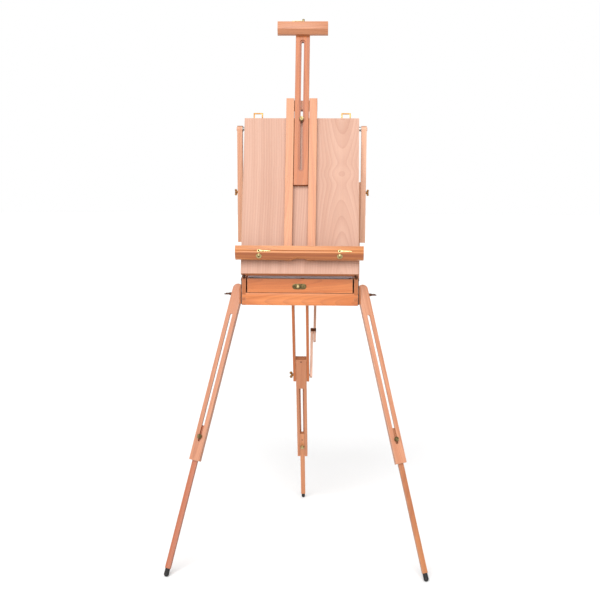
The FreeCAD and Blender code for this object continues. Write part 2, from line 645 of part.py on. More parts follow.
def mast_group():
    """The slotted mast, its clamp and the screw that holds it."""
    long = "mast_high - mast_low"
    thick = "mast_face - mast_back"
    run = ("mast_slot_low", "mast_slot_high")
    board = block("mast_board", 0, "mast_low", "mast_back", "mast_wide", long, thick)
    slot = slot_cutter("mast_slot_cut", 0, *run, "mast_back - 1", "mast_slot", f"{thick} + 2")
    groove = slot_cutter("mast_groove_cut", 0, *run, "mast_face - 3", "mast_groove", 4)
    board_eased = eased("mast_board_eased", board, LONG_EDGE)
    keep(cut("mast_cut", board_eased, slot, groove), "mast", LID)
    clamp_back = "mast_face + 0.1"
    clamp = extrusion(
        "clamp",
        [
            ("clamp_low", clamp_back),
            ("clamp_high", clamp_back),
            ("clamp_high", "clamp_face"),
            ("clamp_low + clamp_slope", "clamp_face"),
            ("clamp_low", "clamp_face - clamp_slope"),
        ],
        "clamp_wide",
    )
    hook_z = "clamp_face - clamp_hook_in"
    hole_start = ("clamp_hook_at", "clamp_high - 12", hook_z)
    hook_hole = rod("clamp_hook_hole", hole_start, Y_AXIS, "thin_pin + fit", 30)
    keep(cut("canvas_clamp_cut", clamp, hook_hole), "canvas_clamp", LID)
    washer = rod("hook_washer", ("clamp_hook_at", "clamp_high + 0.2", hook_z), Y_AXIS, 5, 1.6)
    stem = rod("hook_stem", ("clamp_hook_at", "clamp_high - 11", hook_z), Y_AXIS, "thin_pin", 18)
    eye = rod("hook_eye", ("clamp_hook_at", "clamp_high + 7", f"{hook_z} - 3"), Z_AXIS, 4, 6)
    arm_x = "clamp_hook_at - hook_long / 2"
    arm = block("hook_arm", arm_x, "clamp_high + 3", f"{hook_z} - 2", "hook_long", 1.6, 4)
    keep(joined("clamp_hook_whole", washer, stem, eye, arm), "clamp_hook", LID)
    screw = knob_screw("mast_screw", "mast_face - frame_deep + 20")
    head = Vector(0, value("mast_screw_at"), value("mast_face") + value("slack"))
    keep(screw, "mast_knob", FreeCAD.Placement(LID.multVec(head), LID.Rotation))


def tray_group():
    """The canvas tray, and the block under it that runs between the guide bars."""
    line = "tray_high - tray_line"
    tray = extrusion(
        "tray",
        [
            ("tray_low", "tray_back"),
            ("tray_high", "tray_back"),
            ("tray_high", "tray_face"),
            (f"{line} + tray_groove", "tray_face"),
            (line, "tray_face - tray_groove"),
            (f"{line} - tray_groove", "tray_face"),
            ("tray_low + tray_slope", "tray_face"),
            ("tray_low", "tray_face - tray_slope"),
        ],
        "tray_wide",
    )
    relief_start = (0, "tray_low - relief_round + 6", "tray_back - 1")
    relief = rod("tray_relief", relief_start, Z_AXIS, "relief_round", 60)
    holes = [tray_hole(side) for side in (-1, 1)]
    keep(cut("canvas_tray_cut", tray, relief, *holes), "canvas_tray", LID)
    guide_low = "panel_face + slack"
    guide_wide = "bar_gap - 1.4"
    guide_long = "tray_high - tray_low - 8"
    guide_tall = f"tray_back - 0.05 - ({guide_low})"
    guide = block(
        "tray_guide", 0, "tray_low + 7", guide_low, guide_wide, guide_long, guide_tall
    )
    keep(eased("tray_guide_eased", guide, 30), "tray_guide_block", LID)


def tray_hole(side):
    """The hole for one of the tray's turn hooks."""
    start = (f"{side} * hook_at", "hook_height", "tray_face - 16")
    return rod(f"tray_hole_{side}", start, Z_AXIS, "thin_pin + fit", 30)


def tray_hooks():
    """The tray's turn hooks, and the disc nuts on its sloping edge."""
    half_slope = value("tray_slope") / 2
    nut_height = value("tray_low") + half_slope
    nut_out = value("tray_face") - half_slope
    nuts = []
    for side in (-1, 1):
        disc = rod(f"disc_nut_{side}", (0, 0, 0.1), Z_AXIS, "disc_round", 3)
        crown = taper(f"disc_crown_{side}", (0, 0, 3.1), Z_AXIS, "disc_round - 2", 3.5, 3)
        nut = joined(f"disc_nut_whole_{side}", disc, crown)
        middle = Vector(side * value("hook_at"), nut_height, nut_out)
        nut.Placement = facing(middle, Vector(0, -1, 1))
        nuts.append(nut)
    keep(joined("disc_nuts", *nuts), "tray_disc_nuts", LID)
    for side, label in ((-1, "tray_hook_left"), (1, "tray_hook_right")):
        at = f"{side} * hook_at"
        eye = rod(f"{label}_eye", (at, "hook_height", "tray_face + slack"), Z_AXIS, 4.5, 2)
        stem_start = (at, "hook_height", "tray_face - 14")
        stem = rod(f"{label}_stem", stem_start, Z_AXIS, "thin_pin", 17)
        arm_x = f"{at} + hook_long / 2"
        arm_low = "tray_face + slack"
        arm = block(f"{label}_arm", arm_x, "hook_height - 2", arm_low, "hook_long", 4, 1.6)
        keep(joined(f"{label}_whole", eye, stem, arm), label, LID)


def strut_group():
    """The lower and the upper bar of the strut at each side of the lid."""
    lower_x = "-(strut_lower_in + strut_lower_thick / 2)"
    upper_x = "-(strut_upper_in + strut_upper_thick / 2)"
    half = "strut_broad / 2"
    lower = block(
        "strut_lower_bar",
        lower_x,
        0,
        f"-{half}",
        "strut_lower_thick",
        "strut_lower_long",
        "strut_broad",
    )
    lower_end = rod("strut_lower_end", ("-strut_lower_in", 0, 0), -X_AXIS, half, "strut_lower_thick")
    pivot = strut_hole("strut_lower_hole", 0)
    screw_hole = strut_hole("strut_screw_hole", "strut_screw_at")
    whole = joined("strut_lower_whole", lower, lower_end)
    left = keep(cut("strut_lower_cut", whole, pivot, screw_hole), "strut_lower_left", STRUT)
    mirror(left, "strut_lower_right")
    upper = block(
        "strut_upper_bar",
        upper_x,
        "strut_upper_low",
        f"-{half}",
        "strut_upper_thick",
        "strut_pivot_at - strut_upper_low",
        "strut_broad",
    )
    end_start = ("-strut_upper_in", "strut_pivot_at", 0)
    upper_end = rod("strut_upper_end", end_start, -X_AXIS, half, "strut_upper_thick")
    slot = block(
        "strut_slot",
        upper_x,
        "strut_slot_low",
        "-strut_slot / 2",
        "strut_upper_thick + 2",
        "strut_slot_high - strut_slot_low",
        "strut_slot",
    )
    cap_start = ("-strut_upper_in - strut_upper_thick", "strut_pivot_at", 0)
    cap = rod("strut_cap", cap_start, -X_AXIS, 6, 2)
    whole = joined("strut_upper_whole", eased("strut_upper_eased", upper, LONG_EDGE), upper_end)
    upper_cut = cut("strut_upper_cut", whole, slot)
    left = keep(joined("strut_upper_done", upper_cut, cap), "strut_upper_left", STRUT)
    mirror(left, "strut_upper_right")


def strut_hole(name, along):
    """A hole through the lower bar of the left strut."""
    start = ("-strut_lower_in + 1", along, 0)
    return rod(name, start, -X_AXIS, "pin_round + fit", 20)


def strut_screws():
    """The wing screw that clamps the bars of each strut."""
    out = value("strut_upper_in") + value("strut_upper_thick") + value("slack")
    place = Vector(-out, value("strut_screw_at"), 0)
    screw = wing_screw("strut_wing", "strut_upper_thick + strut_lower_thick", 6.5)
    left = keep(screw, "strut_wing_screw_left", STRUT.multiply(facing(place, -X_AXIS)))
    mirror(left, "strut_wing_screw_right")


def foot(name, at, middle, ball_radius):
    """A rubber foot over the tenon of a leg that ends at the rule at."""
    start = (0, f"{at} - foot_long", middle)
    sleeve = rod(name + "_sleeve", start, Y_AXIS, ball_radius, "foot_long")
    end = ball(name + "_ball", (0, at, middle), ball_radius)
    hole_start = (0, f"{at} - foot_long - 1", middle)
    hole = rod(name + "_hole", hole_start, Y_AXIS, f"{ball_radius} - 2.5", "foot_long - 5")
    return cut(name, joined(name + "_whole", sleeve, end), hole)


def front_leg_group():
    """The upper bar of the left front leg folded along the box's side, then its twin."""
    bar_high = "-leg_above + leg_wide / 2"
    back = "-leg_thick / 2"
    bar_long = f"leg_low - ({bar_high})"
    upper = block("leg_upper_bar", 0, bar_high, back, "leg_wide", bar_long, "leg_thick")
    top = rod("leg_upper_top", (0, bar_high, back), Z_AXIS, "leg_wide / 2", "leg_thick")
    run = ("leg_slot_high", "leg_slot_low")
    slot = slot_cutter("leg_slot_cut", 0, *run, "-leg_thick", "leg_slot", "2 * leg_thick")
    groove_high = "leg_slot_high - 15"
    groove_back = "leg_thick / 2 - leg_groove_deep"
    groove = block(
        "leg_groove_cut", 0, groove_high, groove_back, "leg_groove", "leg_low", "leg_thick"
    )
    hole = rod("leg_pivot_hole", tuple(LEG_AXIS * -60), LEG_AXIS, "pin_round + fit", 120)
    whole = eased("leg_upper_eased", joined("leg_upper_whole", upper, top), 300)
    upper_cut = cut("leg_upper_cut", whole, slot, groove, leg_bevel(), hole)
    left = keep(upper_cut, "front_leg_upper_left", LEG)
    mirror(left, "front_leg_upper_right")


def leg_bevel():
    """A cutter that bevels the leg's top to lie against its wedge."""
    wide = 60
    edge_across = value("leg_pivot_out") - value("box_wide") / 2
    edge_back = value("wedge_back") - value("leg_pivot_place")
    corner = Vector(edge_across, edge_back, 0) + LEG_AXIS * value("slack") - LEG_ALONG * 150
    cutter = joined(
        "leg_bevel_cut",
        block("leg_bevel_top", wide / 2, 0, 0, wide, 300, wide),
        block("leg_bevel_bottom", wide / 2, 0, -wide, wide, 300, wide + 1),
    )
    cutter.Placement = FreeCAD.Placement(corner, FreeCAD.Rotation(Z_AXIS, -value("leg_cant")))
    return cutter


def lower_leg_group():
    """The sliding lower bar of each front leg, and its foot."""
    back = "leg_thick / 2 - leg_groove_deep + slack"
    end = "leg_long - foot_long"
    bar_long = f"{end} - leg_lower_high"
    lower = block(
        "leg_lower_bar", 0, "leg_lower_high", back, "leg_lower_wide", bar_long, "leg_lower_thick"
    )
    tenon_start = (0, f"{end} - 1", "leg_foot_off")
    tenon = rod("leg_tenon", tenon_start, Y_AXIS, "foot_ball - 2.6", "foot_long - 6")
    hole_start = (0, "leg_screw_at", -40)
    screw_hole = rod("leg_screw_hole", hole_start, Z_AXIS, "pin_round + fit", 80)
    whole = joined("leg_lower_whole", eased("leg_lower_eased", lower, LONG_EDGE), tenon)
    left = keep(cut("leg_lower_cut", whole, screw_hole), "front_leg_lower_left", LEG)
    mirror(left, "front_leg_lower_right")
    left = keep(foot("leg_foot", "leg_long", "leg_foot_off", "foot_ball"), "front_foot_left", LEG)
    mirror(left, "front_foot_right")


def front_leg_screws():
    """The knob that clamps each front leg's lower bar, and the screw the leg turns on."""
    head = Vector(0, value("leg_screw_at"), -value("leg_thick") / 2 - value("slack"))
    screw = knob_screw("leg_knob", "leg_thick")
    left = keep(screw, "front_leg_knob_left", LEG.multiply(facing(head, -Z_AXIS)))
    mirror(left, "front_leg_knob_right")
    out = value("leg_wide") / 2 / math.cos(CANT) + 1.6
    screw = wing_screw("leg_wing", out + 30, 6.5)
    handle = facing(LEG_PIVOT + LEG_AXIS * out, LEG_AXIS)
    left = keep(screw, "front_leg_wing_screw_left", handle)
    mirror(left, "front_leg_wing_screw_right")


def rear_leg_group():
    """The rear leg's slats, with the tube between them, and its grooved middle bar."""
    half = "rear_thick / 2"
    slat_x = "-(slat_inside + slat_thick / 2)"
    slat_long = "slat_low + slat_above"
    slat_tall = f"{half} + slat_back"
    slat = block("slat", slat_x, "-slat_above", f"-{half}", "slat_thick", slat_long, slat_tall)
    pivot_hole = slat_hole("slat_pivot_hole", 0, 0, 50)
    screw_hole = slat_hole("slat_screw_hole", "rear_screw_at", "rear_screw_off", 50)
    slats = pair("slats", cut("slat_cut", eased("slat_eased", slat, LONG_EDGE), pivot_hole, screw_hole))
    tube_long = "2 * slat_inside - 0.1"
    tube = rod("rear_tube", ("-slat_inside + 0.05", 0, 0), X_AXIS, 8, tube_long)
    tube_cut = cut("rear_tube_cut", tube, slat_hole("rear_tube_hole", 0, 0, 100))
    keep(together("slats_group", slats, tube_cut), "rear_leg_slats", REAR)
    bar_long = "rear_low - rear_high"
    middle = block("rear_bar", 0, "rear_high", f"-{half}", "rear_wide", bar_long, "rear_thick")
    groove_high = "rear_slot_high - 12"
    groove_tall = "rear_groove_deep + 1"
    groove = block(
        "rear_groove_cut", 0, groove_high, f"-{half} - 1", "rear_groove", "rear_low", groove_tall
    )
    run = ("rear_slot_high", "rear_slot_low")
    slot = slot_cutter("rear_slot_cut", 0, *run, "-rear_thick", "rear_slot", "2 * rear_thick")
    middle_cut = cut("rear_bar_cut", eased("rear_bar_eased", middle, LONG_EDGE), groove, slot)
    keep(middle_cut, "rear_leg_middle", REAR)


def slat_hole(name, along, off, long):
    """A hole across the rear leg, from its left side."""
    return rod(name, (-50, along, off), X_AXIS, "pin_round + fit", long)


def rear_lower_group():
    """The rear leg's sliding lower bar and its foot."""
    end = "rear_long - foot_long"
    low = "-rear_thick / 2 + 0.2"
    bar_long = f"{end} - rear_lower_high"
    lower = block(
        "rear_lower_bar", 0, "rear_lower_high", low, "leg_lower_wide", bar_long, "leg_lower_thick"
    )
    tenon_start = (0, f"{end} - 1", "rear_foot_off")
    tenon = rod("rear_tenon", tenon_start, Y_AXIS, "rear_ball - 2.6", "foot_long - 6")
    hole_start = (0, "rear_knob_at", -40)
    knob_hole = rod("rear_knob_hole", hole_start, Z_AXIS, "pin_round + fit", 80)
    whole = joined("rear_lower_whole", eased("rear_lower_eased", lower, LONG_EDGE), tenon)
    keep(cut("rear_lower_cut", whole, knob_hole), "rear_leg_lower", REAR)
    keep(foot("rear_foot_whole", "rear_long", "rear_foot_off", "rear_ball"), "rear_foot", REAR)


def rear_leg_screws():
    """The knob of the rear leg's lower bar, and the wing screw through its slats."""
    head = Vector(0, value("rear_knob_at"), -value("rear_thick") / 2 - value("slack"))
    screw = knob_screw("rear_knob", "rear_thick")
    keep(screw, "rear_leg_knob", REAR.multiply(facing(head, -Z_AXIS)))
    out = value("slat_inside") + value("slat_thick") + value("slack")
    head = Vector(-out, value("rear_screw_at"), value("rear_screw_off"))
    along = FreeCAD.Rotation(Y_AXIS, Z_AXIS, -X_AXIS, "ZXY")
    screw = wing_screw("rear_wing", "2 * slat_inside + 2 * slat_thick + 10", 5)
    keep(screw, "rear_leg_wing_screw", REAR.multiply(FreeCAD.Placement(head, along)))


def brace_group():
    """The two-strip brace from the rear leg to the box."""
    half = "brace_broad / 2"
    lower_x = "brace_lower_in + brace_thick / 2"
    upper_x = "brace_upper_in + brace_thick / 2"
    lower = block(
        "brace_lower_bar", lower_x, 0, f"-{half}", "brace_thick", "brace_lower_long", "brace_broad"
    )
    lower_end = rod("brace_lower_end", ("brace_lower_in", 0, 0), X_AXIS, half, "brace_thick")
    hole = rod("brace_lower_hole", (0, 0, 0), X_AXIS, "pin_round + fit", 80)
    whole = joined("brace_lower_whole", lower, lower_end)
    keep(cut("brace_lower_cut", eased("brace_lower_eased", whole, LONG_EDGE), hole), "brace_lower", BRACE)
    upper = block(
        "brace_upper_bar",
        upper_x,
        "brace_upper_low",
        f"-{half}",
        "brace_thick",
        "brace_long - brace_upper_low",
        "brace_broad",
    )
    end_start = ("brace_upper_in", "brace_long", 0)
    upper_end = rod("brace_upper_end", end_start, X_AXIS, half, "brace_thick")
    whole = joined("brace_upper_whole", upper, upper_end)
    keep(eased("brace_upper_eased", whole, LONG_EDGE), "brace_upper", BRACE)


def check(thing):
    """Stops if a sub-part failed or has no valid solid."""
    shape = thing.Shape
    if shape.isNull() or not shape.isValid() or not shape.Solids:
        raise RuntimeError(f"{thing.Label} has no valid solid")


LEG_OFF = (value("leg_thick") - value("leg_lower_thick")) / 2 - 0.2
REAR_OFF = (value("leg_lower_thick") - value("rear_thick")) / 2 + 0.2
derive("leg_foot_off", LEG_OFF)
derive("rear_foot_off", REAR_OFF)
derive("leg_long", standing_length(LEG, value("leg_pivot_height"), LEG_OFF, value("foot_ball")))
derive("rear_long", standing_length(REAR, value("rear_height"), REAR_OFF, value("rear_ball")))
derive("brace_long", BRACE_RUN.Length)
box_group()
box_inside()
box_fittings()
pivot_pins()
handle_group()
drawer_group()
drawer_fittings()
lid_group()
lid_fittings()
latches()
mast_group()
tray_group()
tray_hooks()
strut_group()
strut_screws()
front_leg_group()
lower_leg_group()
front_leg_screws()
rear_leg_group()
rear_lower_group()
rear_leg_screws()
brace_group()
document.recompute()
for thing in document.Objects:
    if "Invalid" in thing.State or "Error" in thing.State:
        raise RuntimeError(f"{thing.Name} failed: {thing.State}")
os.makedirs("parts", exist_ok=True)
for part in parts:
    check(part)
    part.Shape.exportStep(f"parts/{part.Label}.step")
    print(f"{part.Label}: {len(part.Shape.Solids)} solids, {part.Shape.Volume / 1000:.1f} cm3")
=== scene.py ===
"""The looks of the folding sketch-box easel: oiled beech, pale plywood, brass, steel and rubber.

Metres, in the CAD model's own frame: X to the right, Y to the back, Z up. Each board is made again
from its CAD sub-part with coordinates that run along its own grain. The brass, rubber and leather
parts are built round the places and axes that the frame gives.
"""
import json
import random
from math import cos, hypot, pi, radians, sin, sqrt, tau

import bmesh
import bpy
from mathutils import Matrix, Vector


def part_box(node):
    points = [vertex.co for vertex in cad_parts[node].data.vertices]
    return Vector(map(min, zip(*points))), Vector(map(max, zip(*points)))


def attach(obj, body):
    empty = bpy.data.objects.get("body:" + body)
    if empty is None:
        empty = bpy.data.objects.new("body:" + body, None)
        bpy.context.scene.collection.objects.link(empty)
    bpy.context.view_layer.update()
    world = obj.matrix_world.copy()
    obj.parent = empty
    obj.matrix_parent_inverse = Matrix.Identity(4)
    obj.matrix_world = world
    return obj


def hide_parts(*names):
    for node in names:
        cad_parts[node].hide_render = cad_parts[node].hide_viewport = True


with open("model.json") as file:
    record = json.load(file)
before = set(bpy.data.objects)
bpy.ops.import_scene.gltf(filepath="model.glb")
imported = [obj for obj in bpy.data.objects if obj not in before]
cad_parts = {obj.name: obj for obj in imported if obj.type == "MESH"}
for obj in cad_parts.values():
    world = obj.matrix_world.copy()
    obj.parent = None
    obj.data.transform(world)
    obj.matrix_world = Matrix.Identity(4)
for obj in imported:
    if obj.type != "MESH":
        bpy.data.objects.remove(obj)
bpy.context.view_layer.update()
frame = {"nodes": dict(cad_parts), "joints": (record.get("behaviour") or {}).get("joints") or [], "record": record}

MM = 0.001
SIDES = (("left", -1), ("right", 1))
X_AXIS = Vector((1, 0, 0))
Y_AXIS = Vector((0, 1, 0))
Z_AXIS = Vector((0, 0, 1))
JOINTS = {joint["name"]: joint for joint in frame["joints"]}
BODY_OF = {node: body for body, nodes in frame["record"]["behaviour"]["bodies"].items() for node in nodes}
draws = random.Random(11)


def pivot_of(joint):
    """A point on the joint's axis."""
    return Vector(JOINTS[joint]["pos_m"])


def axis_of(joint):
    """The direction of the joint's axis."""
    return Vector(JOINTS[joint]["axis"])


# ---------------------------------------------------------------- camera, light and floor

LENS = 55.5
CAMERA_AT = Vector((0.105, -3.140, 1.232))
CAMERA_DOWN = radians(7.4)
CAMERA_YAW = radians(1.99)
CAMERA_ROLL = radians(0.25)
SENSOR_WIDE = 36
VIEW_REACH = 100
SURROUND_LIGHT = 0.6
KEY_LIGHT = 3.4
KEY_SPREAD = radians(50)
KEY_RISE = radians(35)
KEY_TURN = radians(-8)
FLOOR_WIDE = 60


def make_camera():
    """A view from the painter's side, from above the box and a little to the right of its middle."""
    lens = bpy.data.cameras.new("camera")
    lens.lens = LENS
    lens.sensor_width = SENSOR_WIDE
    lens.clip_end = VIEW_REACH
    camera = bpy.data.objects.new("camera", lens)
    bpy.context.scene.collection.objects.link(camera)
    turn = Matrix.Rotation(CAMERA_YAW, 4, "Z") @ Matrix.Rotation(pi / 2 - CAMERA_DOWN, 4, "X")
    camera.matrix_world = Matrix.Translation(CAMERA_AT) @ turn @ Matrix.Rotation(CAMERA_ROLL, 4, "Z")
    bpy.context.scene.camera = camera


def make_surround():
    """A surround that lights the easel evenly, and that the camera sees as white."""
    world = bpy.data.worlds.new("surround")
    bpy.context.scene.world = world
    world.use_nodes = True
    nodes, links = world.node_tree.nodes, world.node_tree.links
    nodes["Background"].inputs["Strength"].default_value = SURROUND_LIGHT
    white = nodes.new("ShaderNodeBackground")
    seen = nodes.new("ShaderNodeLightPath")
    chosen = nodes.new("ShaderNodeMixShader")
    for background in (nodes["Background"], white):
        background.inputs["Color"].default_value = (1, 1, 1, 1)
    links.new(seen.outputs["Is Camera Ray"], chosen.inputs[0])
    links.new(nodes["Background"].outputs[0], chosen.inputs[1])
    links.new(white.outputs[0], chosen.inputs[2])
    links.new(chosen.outputs[0], nodes["World Output"].inputs["Surface"])


def make_studio():
    """The surround, one broad soft light from above the camera and a plain pale floor."""
    bpy.context.scene.view_settings.view_transform = "Standard"
    make_surround()
    data = bpy.data.lights.new("key", "SUN")
    data.energy = KEY_LIGHT
    data.angle = KEY_SPREAD
    key = bpy.data.objects.new("key", data)
    key.matrix_world = Matrix.Rotation(KEY_TURN, 4, "Z") @ Matrix.Rotation(pi / 2 - KEY_RISE, 4, "X")
    bpy.context.scene.collection.objects.link(key)
    bm = bmesh.new()
    bmesh.ops.create_grid(bm, x_segments=2, y_segments=2, size=FLOOR_WIDE / 2)
    floor = new_object("floor", bm)
    floor.data.materials.append(floor_material())


# ---------------------------------------------------------------- meshes

SLAB_RIM = 0.6
POINT = 1e-7
DOME = 0.92
SLOT_HALF = 0.17
SLOT_DEEP = 0.55
CROSS_REACH = 0.62
LINE_REACH = 0.98
SKIRT = 0.3
CELLS = 18
HERE = Matrix()


def shifted_by(x, y, z):
    """A move by millimetres."""
    return Matrix.Translation(Vector((x, y, z)) * MM)


def raised(height):
    """A move along Z by millimetres."""
    return shifted_by(0, 0, height)


def new_object(name, bm):
    """An object that holds the mesh, linked to the scene."""
    mesh = bpy.data.meshes.new(name)
    bm.to_mesh(mesh)
    bm.free()
    thing = bpy.data.objects.new(name, mesh)
    bpy.context.scene.collection.objects.link(thing)
    return thing


def new_corners(made):
    """The corners among what a mesh operation made."""
    return [item for item in made["geom"] if isinstance(item, bmesh.types.BMVert)]


def crease(bm, degrees=35):
    """Smooth faces with sharp edges where they turn by more than the angle."""
    bm.normal_update()
    limit = radians(degrees)
    for face in bm.faces:
        face.smooth = True
    for edge in bm.edges:
        edge.smooth = len(edge.link_faces) == 2 and edge.calc_face_angle(0) < limit


def axes_at(place, up, side=None):
    """A frame at place whose Z runs along up, and whose X is as near side as it can be."""
    up = Vector(up).normalized()
    side = Vector(side) if side else (X_AXIS if abs(up.x) < 0.9 else Y_AXIS)
    side = (side - up * side.dot(up)).normalized()
    turn = Matrix((side, up.cross(side), up)).transposed().to_4x4()
    return Matrix.Translation(Vector(place)) @ turn


def lathe(profile, segments, wobble=None):
    """A turned shape round Z from (radius, height) in millimetres, with wobble added to the radius."""
    bm = bmesh.new()
    rings = []
    for row, (radius, height) in enumerate(profile):
        if radius < POINT:
            rings.append([bm.verts.new((0, 0, height * MM))])
            continue
        ring = []
        for step in range(segments):
            angle = tau * step / segments
            reach = radius + (wobble(row, step) if wobble else 0)
            ring.append(bm.verts.new(Vector((reach * cos(angle), reach * sin(angle), height)) * MM))
        rings.append(ring)
    for low, high in zip(rings, rings[1:]):
        bridge(bm, low, high)
    return bm


def bridge(bm, low, high):
    """Faces between two rings, either of which may be a single point."""
    count = max(len(low), len(high))
    if count == 1:
        return
    for step in range(count):
        after = (step + 1) % count
        if len(low) == 1:
            bm.faces.new((low[0], high[after], high[step]))
        elif len(high) == 1:
            bm.faces.new((low[step], low[after], high[0]))
        else:
            bm.faces.new((low[step], low[after], high[after], high[step]))


def ease_edges(bm, rims, ease, full):
    """Rounds the edges over by the ease, in metres."""
    bmesh.ops.bevel(
        bm, geom=rims, offset=ease, segments=2, profile=full, affect="EDGES", clamp_overlap=True,
    )


def slab(outline, thick, ease):
    """A plate from an outline in X and Y, thick along Z, with its edges eased, all in millimetres."""
    bm = bmesh.new()
    low = bm.faces.new([bm.verts.new((x * MM, y * MM, 0)) for x, y in outline])
    made = bmesh.ops.extrude_face_region(bm, geom=[low])
    bmesh.ops.translate(bm, vec=(0, 0, thick * MM), verts=new_corners(made))
    bmesh.ops.recalc_face_normals(bm, faces=bm.faces)
    rims = [edge for edge in bm.edges if edge.calc_face_angle(0) > SLAB_RIM]
    ease_edges(bm, rims, ease * MM, 0.6)
    return bm


def round_outline(wide, tall, radius, steps=8):
    """A rectangle's outline about the origin, with round corners."""
    points = []
    corners = ((1, 1), (-1, 1), (-1, -1), (1, -1))
    for turn, (side, end) in enumerate(corners):
        middle = Vector((side * (wide / 2 - radius), end * (tall / 2 - radius)))
        for step in range(steps + 1):
            angle = pi / 2 * (turn + step / steps)
            points.append(middle + radius * Vector((cos(angle), sin(angle))))
    return points


def tube(points, radius, around=12, closed=False):
    """A round rod that follows the points, with flat ends."""
    bm = bmesh.new()
    points = [Vector(point) for point in points]
    count = len(points)
    rings = []
    side = None
    for at, point in enumerate(points):
        before = points[at - 1] if at or closed else point
        after = points[(at + 1) % count] if at < count - 1 or closed else point
        along = (after - before).normalized()
        side = side or along.orthogonal()
        side = (side - along * side.dot(along)).normalized()
        other = along.cross(side)
        reach = radius[at] if isinstance(radius, list) else radius
        ring = []
        for step in range(around):
            angle = tau * step / around
            ring.append(bm.verts.new(point + reach * (side * cos(angle) + other * sin(angle))))
        rings.append(ring)
    for low, high in zip(rings, rings[1:] + ([rings[0]] if closed else [])):
        bridge(bm, low, high)
    if not closed:
        bm.faces.new(list(reversed(rings[0])))
        bm.faces.new(rings[-1])
    return bm


def arc(middle, radius, first, last, steps, plane):
    """Points on an arc in a plane given by its two directions."""
    angles = [radians(first + (last - first) * step / steps) for step in range(steps + 1)]
    return [middle + radius * (plane[0] * cos(a) + plane[1] * sin(a)) for a in angles]


def screw_head(radius, proud, cross=True):
    """A domed screw head in millimetres that rises from Z = 0, with its driver slot sunk in it."""
    bm = bmesh.new()
    rows = []
    for row in range(CELLS + 1):
        line = []
        for column in range(CELLS + 1):
            u = 2 * column / CELLS - 1
            v = 2 * row / CELLS - 1
            x = u * sqrt(1 - v * v / 2)
            y = v * sqrt(1 - u * u / 2)
            reach = hypot(x, y)
            height = proud * sqrt(max(0, 1 - DOME * reach ** 2))
            slot = min(abs(x), abs(y)) if cross else abs(y)
            if slot < SLOT_HALF and reach < (CROSS_REACH if cross else LINE_REACH):
                height -= proud * SLOT_DEEP
            line.append(bm.verts.new(Vector((x * radius, y * radius, height)) * MM))
        rows.append(line)
    for low, high in zip(rows, rows[1:]):
        for column in range(CELLS):
            bm.faces.new((low[column], low[column + 1], high[column + 1], high[column]))
    rim = [edge for edge in bm.edges if edge.is_boundary]
    for vertex in new_corners(bmesh.ops.extrude_edge_only(bm, edges=rim)):
        vertex.co.z = -SKIRT * MM
    bmesh.ops.contextual_create(bm, geom=[edge for edge in bm.edges if edge.is_boundary])
    bmesh.ops.recalc_face_normals(bm, faces=bm.faces)
    return bm


def gathered(*placed):
    """One mesh from pairs of (mesh, frame)."""
    whole = bmesh.new()
    for part, place in placed:
        crease(part)
        part.transform(place)
        scrap = bpy.data.meshes.new("scrap")
        part.to_mesh(scrap)
        part.free()
        whole.from_mesh(scrap)
        bpy.data.meshes.remove(scrap)
    return whole


def piece(name, bm, body, material, replaced=(), degrees=35):
    """A finished piece that rides on a body and may stand for CAD nodes."""
    crease(bm, degrees)
    thing = new_object(name, bm)
    thing.data.materials.append(material)
    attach(thing, body)
    if replaced:
        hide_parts(*replaced)


def instead(node, name, bm, material):
    """A finished piece that stands for one CAD node, on that node's body."""
    piece(name, bm, BODY_OF[node], material, (node,))


# ---------------------------------------------------------------- boards with their own grain

SQUARE = 0.02
SAME_WAY = 0.999
FLAT = 0.9
STEEP = 0.4
BOARD_RIM = 0.7
WELD = 0.002 * MM
TONE_SPREAD = 0.16
CROSS_TONE = 0.08


def loose_boards(bm):
    """The mesh's separate boards, as lists of faces."""
    found = []
    seen = set()
    for face in bm.faces:
        if face in seen:
            continue
        group, queue = [], [face]
        seen.add(face)
        while queue:
            here = queue.pop()
            group.append(here)
            for edge in here.edges:
                for other in edge.link_faces:
                    if other not in seen:
                        seen.add(other)
                        queue.append(other)
        found.append(group)
    return found


def facing_up(way):
    """The direction or its opposite, with its largest part positive."""
    largest = max(way, key=abs)
    return way if largest > 0 else -way


def board_axes(faces):
    """A board's directions across, through and along its grain, from its flat faces."""
    ways = []
    for face in faces:
        area = face.calc_area()
        for way in ways:
            if abs(way[0].dot(face.normal)) > SAME_WAY:
                way[1] += area
                break
        else:
            ways.append([face.normal.copy(), area])
    ways.sort(key=lambda way: -way[1])
    first = ways[0][0]
    second = next(way[0] for way in ways if abs(way[0].dot(first)) < SQUARE)
    corners = [vertex.co for face in faces for vertex in face.verts]
    spans = []
    for way in (first, second, first.cross(second)):
        reaches = [corner.dot(way) for corner in corners]
        spans.append((max(reaches) - min(reaches), facing_up(way)))
    spans.sort(key=lambda span: span[0])
    return spans[1][1], spans[0][1], spans[2][1]


